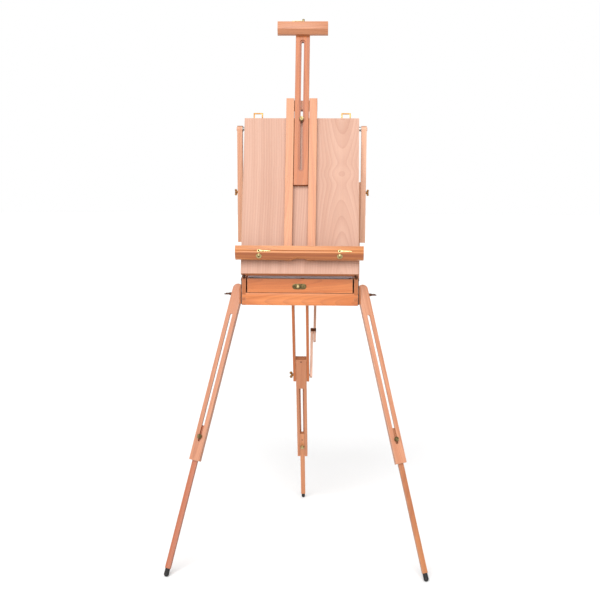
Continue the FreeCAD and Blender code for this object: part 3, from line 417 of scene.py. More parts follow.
def write_board(faces, layers, axes, tone, underside_shade=0.0, sunk=0.0):
    """Stores a board's own coordinates, half sizes, seed and tone on the corners of its faces, with painted shade
    added to the tone of downward-slanting edges and of groove floors.
    """
    _, through, along = axes
    corners = [vertex.co for face in faces for vertex in face.verts]
    middle, half = [], []
    for way in axes:
        reaches = [corner.dot(way) for corner in corners]
        middle.append((max(reaches) + min(reaches)) / 2)
        half.append((max(reaches) - min(reaches)) / 2)
    seed = Vector([draws.uniform(-1, 1) for _ in range(3)])
    shade = tone + draws.uniform(-TONE_SPREAD, TONE_SPREAD)
    for face in faces:
        end = abs(face.normal.dot(along))
        flat = abs(face.normal.dot(through))
        # Painted shade: edges that slant downwards and the floors of grooves get a darker tone.
        painted_shade = underside_shade if STEEP < flat < FLAT and face.normal.z < 0 else 0.0
        deep = half[1] - abs(face.calc_center_median().dot(through) - middle[1])
        if flat > FLAT and deep > MM:
            painted_shade = sunk
        for loop in face.loops:
            at = loop.vert.co
            loop[layers["board"]] = [at.dot(way) - mid for way, mid in zip(axes, middle)]
            loop[layers["half"]] = half
            loop[layers["seed"]] = seed
            loop[layers["facing"]] = (end, 1 - flat, shade + painted_shade)


def boards(node, material, tone=0.0, ease=0.0, seams=(), crosswise=None, underside_shade=0.0, sunk=0.0):
    """The node's boards again, with their edges eased.

    A seam plane cuts a joined frame into boards, and those for which crosswise is true have their
    grain across. The last two tones darken edges that slant downwards and the floors of grooves;
    both are painted shade.
    """
    bm = bmesh.new()
    bm.from_mesh(frame["nodes"][node].data)
    bmesh.ops.remove_doubles(bm, verts=bm.verts, dist=WELD)
    if ease:
        bmesh.ops.dissolve_limit(bm, angle_limit=0.01, verts=bm.verts, edges=bm.edges, delimit={"NORMAL"})
        rims = [edge for edge in bm.edges if edge.is_manifold and edge.calc_face_angle(0) > BOARD_RIM]
        ease_edges(bm, rims, ease, 0.5)
    for place, normal in seams:
        geometry = [*bm.verts, *bm.edges, *bm.faces]
        bmesh.ops.bisect_plane(bm, geom=geometry, plane_co=place, plane_no=normal, dist=1e-6)
    bm.normal_update()
    kinds = bm.loops.layers.float_vector
    layers = {name: kinds.new(name) for name in ("board", "half", "seed", "facing")}
    for group in loose_boards(bm):
        axes = board_axes(group)
        cross = [face for face in group if crosswise and crosswise(face.calc_center_median())]
        rest = [face for face in group if face not in set(cross)]
        write_board(rest, layers, axes, tone, underside_shade, sunk)
        if cross:
            write_board(cross, layers, axes[::-1], tone + CROSS_TONE)
    piece(f"{node}_wood", bm, BODY_OF[node], material, (node,), 32)


# ---------------------------------------------------------------- materials

class Finish:
    """A material under construction, with short calls for the nodes used here."""

    def __init__(self, name, **constants):
        self.material = bpy.data.materials.new(name)
        self.material.use_nodes = True
        self.tree = self.material.node_tree
        self.shader = self.tree.nodes["Principled BSDF"]
        for socket, value in constants.items():
            self.shader.inputs[socket.replace("_", " ")].default_value = value

    def node(self, kind, inputs=(), **settings):
        """A shader node with its settings, and its inputs given by place or by name."""
        made = self.tree.nodes.new("ShaderNode" + kind)
        for name, value in settings.items():
            setattr(made, name, value)
        for socket, value in dict(inputs).items():
            self.put(made.inputs[socket], value)
        return made

    def put(self, socket, value):
        """A link when the value is a socket, and a constant otherwise."""
        if isinstance(value, bpy.types.NodeSocket):
            self.tree.links.new(value, socket)
        else:
            socket.default_value = value

    def stored(self, name):
        """A vector stored on the mesh."""
        return self.node("Attribute", attribute_name=name).outputs["Vector"]

    def place(self):
        """The piece's own coordinates, which keep still when a body moves."""
        return self.node("TexCoord").outputs["Object"]

    def parts(self, vector):
        """The vector's three numbers."""
        return self.node("SeparateXYZ", {0: vector}).outputs

    def vector(self, x, y, z):
        """A vector from three numbers."""
        return self.node("CombineXYZ", {0: x, 1: y, 2: z}).outputs[0]

    def maths(self, operation, first, second=0.0, clamp=False):
        """One step of arithmetic."""
        made = self.node("Math", {0: first, 1: second}, operation=operation, use_clamp=clamp)
        return made.outputs[0]

    def plus(self, first, second, clamp=False):
        """Two numbers added."""
        return self.maths("ADD", first, second, clamp)

    def less(self, first, second):
        """The first number less the second."""
        return self.maths("SUBTRACT", first, second)

    def times(self, first, second):
        """Two numbers multiplied."""
        return self.maths("MULTIPLY", first, second)

    def length(self, x, y):
        """The length of a flat vector."""
        joined = self.vector(x, y, 0.0)
        return self.node("VectorMath", {0: joined}, operation="LENGTH").outputs["Value"]

    def stretch(self, vector, x, y, z):
        """The vector times a size in each direction."""
        made = self.node("VectorMath", {0: vector, 1: (x, y, z)}, operation="MULTIPLY")
        return made.outputs[0]

    def add(self, first, second):
        """Two vectors added."""
        return self.node("VectorMath", {0: first, 1: second}, operation="ADD").outputs[0]

    def noise(self, vector, detail, rough=0.5):
        """Smooth noise from 0 to 1."""
        inputs = {"Vector": vector, "Scale": 1.0, "Detail": detail, "Roughness": rough}
        return self.node("TexNoise", inputs).outputs["Fac"]

    def grain(self, vector, sizes, detail, rough=0.5):
        """Smooth noise that is as fine in each direction as its sizes say."""
        return self.noise(self.stretch(vector, *sizes), detail, rough)

    def step(self, value, low, high, out_low=0.0, out_high=1.0):
        """The value taken smoothly from one range to another."""
        inputs = {0: value, 1: low, 2: high, 3: out_low, 4: out_high}
        return self.node("MapRange", inputs, interpolation_type="SMOOTHSTEP").outputs[0]

    def mix(self, share, first, second, blend="MIX"):
        """Two colours mixed."""
        made = self.node("Mix", data_type="RGBA", blend_type=blend)
        for socket, value in ((0, share), (6, first), (7, second)):
            self.put(made.inputs[socket], value)
        return made.outputs[2]

    def dark(self, colour, amount):
        """The colour times a number."""
        return self.mix(1.0, colour, self.vector(amount, amount, amount), "MULTIPLY")

    def done(self, colour, rough, height, depth, strength=1.0):
        """Joins colour, roughness and bump to the shader."""
        self.put(self.shader.inputs["Base Color"], colour)
        self.put(self.shader.inputs["Roughness"], rough)
        inputs = {"Height": height, "Distance": depth, "Strength": strength}
        bump = self.node("Bump", inputs)
        self.put(self.shader.inputs["Normal"], bump.outputs[0])
        return self.material


def rgb(*numbers):
    """A linear colour from the usual 0 to 255 numbers, by the sRGB curve."""
    shares = [number / 255 for number in numbers]
    return (*(s / 12.92 if s <= 0.04045 else ((s + 0.055) / 1.055) ** 2.4 for s in shares), 1.0)


RINGS_PER_METRE = 330.0
BANDS_PER_METRE = 150.0
RING_SWAY = 0.020
HEART_SPREAD = 0.030
HEART_AWAY = 0.055
HEART_LEAN = 0.05
LATE_WOOD = 0.26
LINES_PER_METRE = 125.0
PLIES_PER_METRE = 750.0
FIGURE_PLACE = (0.135, 0.072)
BEECH_PLIES = [rgb(184, 136, 96), rgb(140, 84, 50)]
# Near-white plies, painted light on the palette's front edge, which sits in shade.
LIT_PALETTE_PLIES = [rgb(246, 238, 248), rgb(236, 226, 238)]
RUBBED_BEECH = (0.66, 0.52, 0.40, 1)
RUBBED_VENEER = (0.58, 0.45, 0.34, 1)


def edge_share(paint, board, half, width):
    """1 on a board's edges, falling to 0 at the width from them."""
    gaps = paint.node("VectorMath", {0: board}, operation="ABSOLUTE").outputs[0]
    gaps = paint.node("VectorMath", {0: half, 1: gaps}, operation="SUBTRACT").outputs[0]
    x, y, z = paint.parts(gaps)
    least, most = paint.maths("MINIMUM", x, y), paint.maths("MAXIMUM", x, y)
    second = paint.maths("MAXIMUM", least, paint.maths("MINIMUM", most, z))
    return paint.step(second, 0.0, width, 1.0, 0.0)


def fibres(paint, board):
    """Fine streaks that run along the grain."""
    return paint.grain(board, (900, 900, 16), 3.0, 0.6)


def heart_distance(paint, board, seed, shifted):
    """How far a point is from the heart of its board's own tree, which sways along the grain."""
    x, y, z = paint.parts(board)
    seed_x, seed_y, seed_z = paint.parts(seed)
    sway = paint.times(paint.less(paint.grain(shifted, (6, 6, 2.2), 2.0), 0.5), RING_SWAY)
    away = paint.plus(paint.times(seed_y, HEART_SPREAD), HEART_AWAY)
    lean = paint.times(paint.times(z, seed_z), HEART_LEAN)
    depth = paint.plus(paint.plus(y, away), lean)
    reach = paint.length(paint.plus(x, paint.times(seed_x, HEART_SPREAD)), depth)
    return paint.plus(reach, sway)


def beech(name, pale, deep, streak):
    """Oiled beech: growth rings, fine fibres, short dark flecks, pores and rubbed edges."""
    paint = Finish(name, Coat_Weight=0.12, Coat_Roughness=0.3, IOR=1.48)
    board, half, seed = (paint.stored(name) for name in ("board", "half", "seed"))
    end, _, tone = paint.parts(paint.stored("facing"))
    shifted = paint.add(board, paint.stretch(seed, 4.0, 4.0, 4.0))
    reach = heart_distance(paint, board, seed, shifted)
    late = paint.maths("POWER", paint.maths("FRACT", paint.times(reach, RINGS_PER_METRE)), 3.0)
    along = paint.times(paint.parts(board)[2], 0.8)
    across = paint.times(reach, BANDS_PER_METRE)
    band = paint.noise(paint.vector(across, paint.parts(seed)[0], along), 2.0, 0.6)
    thread = fibres(paint, shifted)
    blotch = paint.grain(shifted, (12, 12, 2.6), 3.0, 0.6)
    warmth = paint.plus(paint.step(blotch, 0.3, 0.7, 0.0, 0.45), paint.step(band, 0.35, 0.68, 0.0, 0.62))
    # The stored tone carries painted shade on downward-slanting edges and groove floors.
    colour = paint.mix(paint.plus(warmth, tone, clamp=True), pale, deep)
    colour = paint.mix(paint.times(late, LATE_WOOD), colour, streak)
    fleck = paint.step(paint.grain(shifted, (1500, 1500, 260), 1.0), 0.66, 0.74)
    colour = paint.mix(paint.times(fleck, 0.42), colour, streak)
    colour = paint.dark(colour, paint.step(thread, 0.3, 0.7, 0.90, 1.06))
    colour = paint.dark(colour, paint.step(end, 0.5, 0.9, 1.0, 0.74))
    worn = paint.step(paint.grain(shifted, (60, 60, 30), 3.0, 0.7), 0.35, 0.62, 0.15, 0.75)
    rubbed = paint.times(edge_share(paint, board, half, 1.6 * MM), worn)
    colour = paint.mix(rubbed, colour, paint.mix(0.3, pale, RUBBED_BEECH))
    rough = paint.plus(paint.step(thread, 0.2, 0.8, 0.36, 0.52), paint.times(end, 0.14))
    height = paint.less(paint.times(thread, 0.7), paint.plus(paint.times(late, 0.25), fleck))
    return paint.done(colour, rough, height, 0.00012, 0.55)


def figure_distance(paint, x, z):
    """How far a point is from the eye of the veneer's nested figure, drawn out along the grain."""
    from_eye = paint.less(z, FIGURE_PLACE[1])
    rise = paint.times(paint.maths("POWER", paint.maths("ABSOLUTE", from_eye), 1.2), -0.19)
    dip_at = paint.maths("POWER", paint.maths("DIVIDE", from_eye, 0.024), 2.0)
    dip = paint.times(paint.maths("EXPONENT", paint.times(dip_at, -1.0)), -0.012)
    deep_at = paint.plus(paint.plus(rise, dip), 0.066)
    return paint.length(paint.less(x, FIGURE_PLACE[0]), deep_at)


def veneer(name, pale, deep, streak, figure=True, plies=None):
    """Plywood: a veneer with soft straight grain or a nested figure, and its plies on the edges."""
    paint = Finish(name, Coat_Weight=0.06, Coat_Roughness=0.4, IOR=1.46)
    board, half, seed = (paint.stored(name) for name in ("board", "half", "seed"))
    _, edge, tone = paint.parts(paint.stored("facing"))
    shifted = paint.add(board, paint.stretch(seed, 3.0, 3.0, 3.0))
    x, y, z = paint.parts(board)
    sway = paint.less(paint.grain(board, (9, 9, 3.0), 2.0), 0.5)
    lines = figure_distance(paint, x, z) if figure else x
    lines = paint.plus(lines, paint.times(sway, 0.010))
    late = paint.maths("POWER", paint.maths("FRACT", paint.times(lines, LINES_PER_METRE)), 2.2)
    uneven = paint.noise(paint.vector(paint.times(lines, 70.0), 0.4, paint.times(z, 1.5)), 2.0)
    thread = fibres(paint, shifted)
    broad = paint.grain(shifted, (22, 22, 1.6), 2.0)
    warmth = paint.plus(paint.step(uneven, 0.3, 0.7, 0.0, 0.55), paint.step(broad, 0.3, 0.7, 0.0, 0.45))
    colour = paint.mix(paint.plus(warmth, paint.times(tone, 0.5), clamp=True), pale, deep)
    colour = paint.mix(paint.times(late, LATE_WOOD), colour, streak)
    colour = paint.dark(colour, paint.step(thread, 0.3, 0.7, 0.94, 1.04))
    pore = paint.step(paint.grain(shifted, (1300, 1300, 120), 1.0), 0.66, 0.76)
    colour = paint.mix(paint.times(pore, 0.25), colour, streak)
    ply = paint.maths("FRACT", paint.plus(paint.times(y, PLIES_PER_METRE), 0.5))
    core = paint.mix(paint.step(ply, 0.42, 0.58), *(plies or BEECH_PLIES))
    colour = paint.mix(paint.step(edge, 0.5, 0.8), colour, core)
    rubbed = paint.times(edge_share(paint, board, half, 1.2 * MM), 0.35)
    colour = paint.mix(rubbed, colour, RUBBED_VENEER)
    rough = paint.step(thread, 0.2, 0.8, 0.44, 0.60)
    height = paint.less(paint.times(thread, 0.6), paint.plus(paint.times(late, 0.2), pore))
    return paint.done(colour, rough, height, 0.0001, 0.45)


def metal(name, bright, dull, spot, rough, grime=0.35):
    """Rolled or turned metal: fine scratches, tarnish in patches and small dark spots."""
    paint = Finish(name, Metallic=1.0)
    place = paint.place()
    patch = paint.grain(place, (90, 90, 90), 4.0, 0.65)
    scratch = paint.grain(place, (3600, 500, 700), 2.0, 0.7)
    spots = paint.step(paint.grain(place, (800, 800, 800), 2.0), 0.66, 0.76)
    colour = paint.mix(paint.step(patch, 0.35, 0.68), bright, dull)
    colour = paint.mix(paint.times(spots, grime), colour, spot)
    wear = paint.times(paint.step(patch, 0.3, 0.7), 0.18)
    rough = paint.plus(paint.plus(wear, rough), paint.times(scratch, 0.12))
    height = paint.less(scratch, spots)
    return paint.done(colour, rough, height, 0.00003, 0.5)


def rubber():
    """Black moulded rubber with fine grit and dust on it."""
    paint = Finish("rubber", IOR=1.5)
    place = paint.place()
    grit = paint.grain(place, (2600, 2600, 2600), 2.0)
    dust = paint.grain(place, (120, 120, 120), 4.0, 0.7)
    colour = paint.mix(paint.step(dust, 0.45, 0.75), rgb(14, 13, 13), rgb(34, 31, 30))
    return paint.done(colour, paint.step(dust, 0.3, 0.7, 0.55, 0.8), grit, 0.00008, 0.6)


def leather():
    """Brown hide with pebbled grain and creases, with painted shade in the hollows between the pebbles."""
    paint = Finish("leather", IOR=1.5, Coat_Weight=0.12, Coat_Roughness=0.35)
    place = paint.place()
    pebble = paint.node("TexVoronoi", {"Vector": place, "Scale": 620.0}, feature="DISTANCE_TO_EDGE")
    pebble = paint.step(pebble.outputs["Distance"], 0.0, 0.22)
    crease_lines = paint.grain(place, (45, 160, 160), 4.0, 0.7)
    colour = paint.mix(paint.step(crease_lines, 0.35, 0.68), rgb(128, 74, 40), rgb(78, 40, 22))
    # Painted shade: darker in the hollows between the pebbles.
    colour = paint.dark(colour, paint.step(pebble, 0.0, 1.0, 0.72, 1.05))
    rough = paint.step(crease_lines, 0.3, 0.7, 0.38, 0.58)
    height = paint.plus(pebble, paint.times(crease_lines, 0.6))
    return paint.done(colour, rough, height, 0.0002, 0.5)


def zinc():
    """Galvanised sheet with its crystal spangle."""
    paint = Finish("zinc_sheet", Metallic=1.0)
    place = paint.place()
    spangle = paint.node("TexVoronoi", {"Vector": place, "Scale": 140.0, "Randomness": 1.0})
    shade = paint.parts(spangle.outputs["Color"])[0]
    fine = paint.grain(place, (900, 900, 900), 2.0)
    colour = paint.mix(shade, rgb(168, 172, 176), rgb(206, 209, 212))
    return paint.done(colour, paint.step(shade, 0.0, 1.0, 0.32, 0.5), paint.plus(shade, fine), 0.00003, 0.4)


def thread_material():
    """Waxed linen thread."""
    paint = Finish("thread", IOR=1.5)
    twist = paint.grain(paint.place(), (2600, 900, 2600), 2.0)
    colour = paint.mix(twist, rgb(196, 168, 122), rgb(226, 204, 160))
    return paint.done(colour, 0.7, twist, 0.0001, 0.6)


def floor_material():
    """A plain pale floor."""
    paint = Finish("floor", IOR=1.3)
    cloud = paint.grain(paint.place(), (0.7, 0.7, 0.7), 2.0)
    colour = paint.mix(cloud, (0.94, 0.94, 0.94, 1), (0.95, 0.95, 0.95, 1))
    return paint.done(colour, 0.75, cloud, 0.0005, 0.1)


def finishes(make, family, rows):
    """A family of finishes by name, each made from its colours and the numbers after them."""
    made = {}
    for name, *values in rows:
        values = [rgb(*value) if isinstance(value, tuple) else value for value in values]
        made[name] = make(f"{family}_{name}", *values)
    return made


BEECH = finishes(beech, "beech", (
    ("oiled", (186, 124, 87), (168, 103, 66), (112, 56, 32)),
    ("deep", (197, 118, 64), (180, 99, 48), (118, 56, 26)),
    ("red", (176, 97, 40), (158, 80, 30), (104, 42, 17)),
    ("gold", (192, 120, 60), (152, 83, 41), (110, 52, 24)),
    ("pink", (202, 151, 120), (185, 126, 91), (134, 76, 50)),
    # A lighter copy of the pink finish, painted light on the right upper strut.
    ("rose", (216, 168, 140), (200, 145, 112), (150, 94, 66)),
    ("leg", (196, 138, 104), (176, 112, 75), (122, 62, 38)),
    ("shin", (172, 107, 58), (155, 88, 43), (104, 49, 22)),
    # A darker copy of the shin finish, painted shade on the left front leg.
    ("tan", (166, 84, 32), (148, 68, 24), (98, 38, 13)),
    # A very pale pink, painted light on the brace's bright narrow strips.
    ("blush", (232, 192, 170), (220, 172, 146), (176, 120, 94)),
    ("pale", (194, 130, 88), (180, 112, 72), (134, 74, 42)),
))
PLYWOOD = finishes(veneer, "plywood", (
    ("face", (190, 149, 128), (175, 131, 109), (140, 82, 62)),
    ("plain", (194, 162, 132), (180, 144, 112), (142, 98, 66), False),
    ("palette", (194, 184, 192), (180, 169, 176), (130, 108, 104), False, LIT_PALETTE_PLIES),
))
METAL = finishes(metal, "metal", (
    ("brass", (190, 174, 128), (150, 132, 86), (80, 64, 38), 0.26),
    ("gold", (176, 134, 70), (142, 98, 48), (92, 60, 30), 0.32),
    ("dark", (118, 104, 70), (78, 68, 46), (36, 30, 22), 0.36),
    ("dull", (168, 124, 74), (120, 80, 46), (66, 42, 26), 0.34),
    ("bronze", (112, 72, 50), (78, 50, 38), (38, 26, 22), 0.36),
    ("iron", (98, 80, 74), (66, 54, 52), (36, 30, 28), 0.40),
    ("steel", (196, 196, 192), (150, 150, 148), (70, 62, 56), 0.28),
))
RUBBER = rubber()
LEATHER = leather()
ZINC = zinc()
THREAD = thread_material()


# ---------------------------------------------------------------- wooden parts

LID_ALONG = axis_of("mast_slide")
WALL = 13 * MM
DRAWER_WALL = 9 * MM
EASED = 0.5 * MM


def lid_rail(spot):
    """True for the part of the lid's frame that runs across it."""
    return abs(spot.x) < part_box("lid_frame")[1].x - WALL


def drawer_back(spot):
    """True for the drawer's back wall."""
    return spot.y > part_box("drawer_walls")[1].y - DRAWER_WALL


def side_seams(node, inside):
    """The two planes where a frame's side boards meet its cross boards."""
    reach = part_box(node)[1].x - inside
    return tuple((Vector((side * reach, 0, 0)), X_AXIS) for _, side in SIDES)


def make_boards():
    """Every wooden sub-part, with its own finish and tone."""
    for node, paint, tone in (
        ("box_sides", "deep", 0.0), ("box_front_rail", "deep", -0.05), ("box_back_wall", "deep", 0.0),
        ("leg_wedges", "deep", 0.1), ("box_runners", "oiled", 0.0), ("rear_leg_brackets", "deep", 0.2),
        ("canvas_clamp", "oiled", -0.12), ("tray_guide_block", "oiled", 0.1),
        ("strut_lower_left", "leg", -0.1), ("strut_lower_right", "leg", -0.1),
    ):
        boards(node, BEECH[paint], tone, EASED)
    # The tray's lower slope gets painted shade.
    boards("canvas_tray", BEECH["gold"], -0.25, EASED, underside_shade=0.7)
    boards("lid_frame", BEECH["oiled"], 0.1, EASED, side_seams("lid_frame", WALL), lid_rail)
    back_seam = (Vector((0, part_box("drawer_walls")[1].y - DRAWER_WALL, 0)), Y_AXIS)
    boards("drawer_walls", BEECH["oiled"], -0.1, EASED, (back_seam,), drawer_back)
    # Painted shade on the floors of the grooves in the mast and the upper front legs.
    groove_shade_tones = {"mast": 0.9, "front_leg_upper_left": 0.4, "front_leg_upper_right": 0.4}
    for node, paint, tone in (
        ("drawer_front", "deep", 0.0), ("drawer_dividers", "oiled", 0.0), ("guide_bars", "pale", -0.05),
        ("rear_leg_slats", "red", 0.0), ("rear_leg_middle", "oiled", 0.1), ("rear_leg_lower", "pale", -0.1),
        # The brace's strips take a very pale pink, painted light.
        ("brace_lower", "blush", -0.1), ("brace_upper", "blush", -0.1), ("mast", "red", -0.1),
        # The right upper strut takes a lighter pink than the left, painted light.
        ("strut_upper_left", "pink", -0.1), ("strut_upper_right", "rose", -0.1),
        # The left front leg takes darker finishes than the right one, painted shade.
        ("front_leg_upper_left", "oiled", 0.0), ("front_leg_lower_left", "tan", 0.0),
        ("front_leg_upper_right", "leg", 0.0), ("front_leg_lower_right", "shin", 0.0),
    ):
        boards(node, BEECH[paint], tone, sunk=groove_shade_tones.get(node, 0.0))
    for node, paint in (
        ("lid_panel", "face"), ("box_floor", "plain"), ("drawer_floor", "plain"), ("palette", "palette"),
    ):
        boards(node, PLYWOOD[paint])


# ---------------------------------------------------------------- turned and pressed metal

HEAD_GAP = 0.1
SHANK = 3
LEG_SCREW_OUT = 19.3
STRUT_SCREW_OUT = 17.9
WING_STEPS = 28


def joint_axes(name, side=None, out=0):
    """A frame on a joint's axis, with Z along it, and out along it by millimetres."""
    return axes_at(pivot_of(name), axis_of(name), side) @ raised(out)


def shank(reach):
    """A screw's shank along -Z, with a rolled thread of four rings to the millimetre."""
    rings = int(reach * 4)
    profile = [(0, -reach), (SHANK * 0.75, -reach)]
    for ring in range(rings + 1):
        deep = 0.86 if ring % 4 in (1, 2) else 0.98
        profile.append((SHANK * deep, 0.6 - reach + ring * (reach + 0.2) / rings))
    return lathe(profile, 24)


def knurled_knob(reach):
    """A round screw knob with a knurled rim, a dished face and a turned collar."""
    def knurl(row, step):
        return (0.22 if step % 2 else -0.12) if 6 <= row <= 9 else 0

    profile = [(0, 0), (4.2, 0), (4.7, 0.4), (4.2, 1.2), (3.4, 2.0), (3.6, 2.8), (6.5, 3.3), (7.2, 3.9)]
    profile += [(7.2, 6.2), (7.2, 8.4), (6.7, 9.1), (5.8, 9.5), (4.9, 9.2), (3.7, 9.0)]
    profile += [(2.7, 9.9), (1.4, 10.6), (0, 10.8)]
    return gathered((shank(reach), HERE), (lathe(profile, 72, knurl), HERE))


def wing_lobe(turn, thick, size, stretch):
    """One round wing, waisted towards the hub and stretched outwards."""
    outline = []
    for step in range(WING_STEPS):
        angle = tau * step / WING_STEPS
        waist = 1 - 0.38 * max(0, -cos(angle))
        rise = (5.6 * sin(angle) * waist + 8.6) * stretch
        outline.append(((8.6 + 6.195 * cos(angle)) * size, rise * size))
    place = Matrix.Rotation(turn, 4, "Z") @ Matrix.Rotation(pi / 2, 4, "X") @ raised(-thick / 2)
    return slab(outline, thick, 0.55), place


def wing_head(reach, thick=2.3, size=1.0, stretch=1.0):
    """A cast wing screw: a flared hub, two wings and the shank."""
    profile = [(0, 0), (4.5, 0), (4.9, 0.5), (4.4, 1.4), (4.9, 3.2)]
    profile += [(4.3, 6.0), (4.3, 8.0), (3.6, 9.0), (2.2, 9.3), (0, 9.3)]
    lobes = [wing_lobe(turn, thick, size, stretch) for turn in (0, pi)]
    return gathered((shank(reach), HERE), (lathe(profile, 40), HERE), *lobes)


def make_screws():
    """The knobs and wing screws, each on its joint's axis."""
    rear_place = joint_axes("rear_leg_screw_turn", axis_of("rear_leg_lower_slide"))
    screws = [
        ("mast_knob", "mast_knob", knurled_knob(39), joint_axes("mast_knob_turn"), "brass"),
        ("rear_leg_knob", "rear_leg_knob", knurled_knob(21), joint_axes("rear_leg_knob_turn"), "brass"),
        ("rear_leg_wing", "rear_leg_wing_screw", wing_head(64), rear_place, "dull"),
    ]
    for name, _ in SIDES:
        knob = f"front_leg_knob_{name}"
        leg_place = joint_axes(f"front_leg_screw_turn_{name}", Y_AXIS, LEG_SCREW_OUT)
        strut_place = joint_axes(f"strut_screw_turn_{name}", Z_AXIS, STRUT_SCREW_OUT)
        leg_wing = wing_head(LEG_SCREW_OUT + 27, 3.0, stretch=1.65)
        screws += [
            (knob, knob, knurled_knob(21), joint_axes(f"front_leg_knob_turn_{name}"), "dark"),
            (f"leg_wing_{name}", f"front_leg_wing_screw_{name}", leg_wing, leg_place, "bronze"),
            (f"strut_wing_{name}", f"strut_wing_screw_{name}", wing_head(24, 2.0, 0.74), strut_place, "dull"),
        ]
    for name, node, bm, place, paint in screws:
        instead(node, f"{name}_brass", gathered((bm, place @ raised(HEAD_GAP))), METAL[paint])


# ---------------------------------------------------------------- hooks, latches, hinges and plates

HINGE = pivot_of("lid_tilt")
LID_OUT = X_AXIS.cross(LID_ALONG)
LID_LONG = 530
HOOK_LONG = 38
SPINDLE = 1.35
DISC_BELOW_HOOK = 14.5
DISC_BEHIND_HOOK = 8.5
LATCH_AT = 147 * MM
STRUT_TOP_ALONG = 500
STRUT_TOP_OUT = 17


def lid_axes(x, along, out, up):
    """A frame on the lid with Z along up: x in metres, along and out in millimetres from the hinge."""
    return axes_at(HINGE + X_AXIS * x + (LID_ALONG * along + LID_OUT * out) * MM, up)


def hook_arm(broad, thick, eye):
    """A turn hook's flat arm along X: a round eye, a waist, a taper and a turned-down tip."""
    outline = [(eye * cos(radians(a)), eye * sin(radians(a))) for a in range(35, 326, 15)]
    lower_run = [(0.30, -0.48), (0.55, -0.42), (0.80, -0.36), (0.93, -0.52), (0.985, -0.50)]
    outline += [(HOOK_LONG * share, broad * high) for share, high in lower_run]
    outline += [(HOOK_LONG, -0.8), (HOOK_LONG * 0.99, 1.0), (HOOK_LONG * 0.80, 1.1)]
    outline += [(HOOK_LONG * 0.30, broad * 0.46)]
    return slab(outline, thick, 0.25)


def make_tray_hooks():
    """The turn hooks on the tray, each held by a screw."""
    for name, _ in SIDES:
        node = f"tray_hook_{name}"
        place = joint_axes(f"tray_hook_turn_{name}")
        stem = lathe([(0, -12), (SPINDLE, -11.6), (SPINDLE, 0.6), (0, 0.6)], 20)
        washer = lathe([(0, 0.1), (5.2, 0.1), (5.2, 0.4), (0, 0.5)], 36)
        bm = gathered((stem, place), (washer, place), (hook_arm(4.4, 1.4, 4.6), place @ raised(0.5)))
        instead(node, f"{node}_brass", bm, METAL["brass"])
        screw = gathered((screw_head(2.9, 1.5), place @ raised(1.9)))
        piece(f"{node}_screw", screw, node, METAL["dark"])


def make_clamp_hook():
    """The turn hook on the canvas clamp, with a raised turned head."""
    place = joint_axes("clamp_hook_turn")
    stem = lathe([(0, -10.5), (SPINDLE, -10), (SPINDLE, 1), (0, 1)], 20)
    washer = lathe([(0, 0.1), (5.0, 0.1), (5.0, 0.7), (4.4, 1.0), (3.4, 1.4), (3.4, 2.7), (0, 2.7)], 36)
    arm = hook_arm(4.2, 1.6, 4.4)
    turn = raised(2.8) @ Matrix.Rotation(pi, 4, "Z")
    profile = [(0, 4.2), (3.3, 4.2), (2.5, 4.9), (2.3, 5.8), (3.5, 6.8), (4.3, 8.0), (4.0, 9.4), (2.6, 10.4)]
    head = lathe(profile + [(1.1, 10.8), (0, 10.8)], 40)
    bm = gathered((stem, place), (washer, place), (arm, place @ turn), (head, place))
    instead("clamp_hook", "clamp_hook_brass", bm, METAL["brass"])


def make_disc_nuts():
    """The dished brass discs on the tray's lower slope, each with a sunk screw."""
    profile = [(0, 0.1), (8.5, 0.1), (9.0, 0.5), (9.0, 1.3), (8.4, 1.9), (7.1, 2.1), (6.2, 1.7), (5.5, 1.9)]
    profile += [(4.8, 3.1), (4.0, 4.0), (3.0, 4.4), (2.5, 4.2), (2.3, 2.6), (0, 2.4)]
    placed, sockets = [], []
    for name, _ in SIDES:
        hook = pivot_of(f"tray_hook_turn_{name}")
        middle = hook - (LID_ALONG * DISC_BELOW_HOOK + LID_OUT * DISC_BEHIND_HOOK) * MM
        place = axes_at(middle, LID_OUT - LID_ALONG)
        placed.append((lathe(profile, 56), place))
        sockets.append((screw_head(2.15, 0.6, False), place @ raised(2.7)))
    instead("tray_disc_nuts", "tray_discs_brass", gathered(*placed), METAL["brass"])
    piece("tray_discs_screws", gathered(*sockets), "tray", METAL["dark"])


def make_latch_loops():
    """The flat loops of the draw latches, at the lid's top edge, each on a round pin."""
    half, reach, strap, thick, end = 15.9, 23.9, 4.2, 2.4, -1.6
    outer = [(-half, end), (-half, reach), (half, reach), (half, end)]
    inner = [(half - strap, end), (half - strap, reach - strap)]
    inner += [(-x, y) for x, y in reversed(inner)]
    for name, _ in SIDES:
        pivot = pivot_of(f"latch_swing_{name}")
        place = axes_at(pivot, LID_OUT, X_AXIS) @ raised(-thick / 2)
        span = X_AXIS * (half - strap / 2) * MM
        pin = tube([pivot - span, pivot + span], 1.8 * MM, 20)
        bm = gathered((slab(outer + inner, thick, 0.4), place), (pin, HERE))
        instead(f"lid_latch_{name}", f"lid_latch_{name}_strap", bm, METAL["gold"])


def plate_with_screws(wide, tall, thick, screws, corner, head=1.9):
    """A pressed plate in X and Y with screw heads on it, for gathering."""
    parts = [(slab(round_outline(wide, tall, corner), thick, 0.2), HERE)]
    for x, y in screws:
        turn = Matrix.Rotation(draws.uniform(0, pi), 4, "Z")
        parts.append((screw_head(head, 0.5 * head), shifted_by(x, y, thick + 0.1) @ turn))
    return gathered(*parts)


def knuckle(long):
    """A hinge knuckle along Z: a rolled barrel with its pin's domed end."""
    return lathe([(1.45, 0), (2.7, 0), (3, 0.3), (3, long - 0.3), (2.7, long), (1.45, long)], 32)


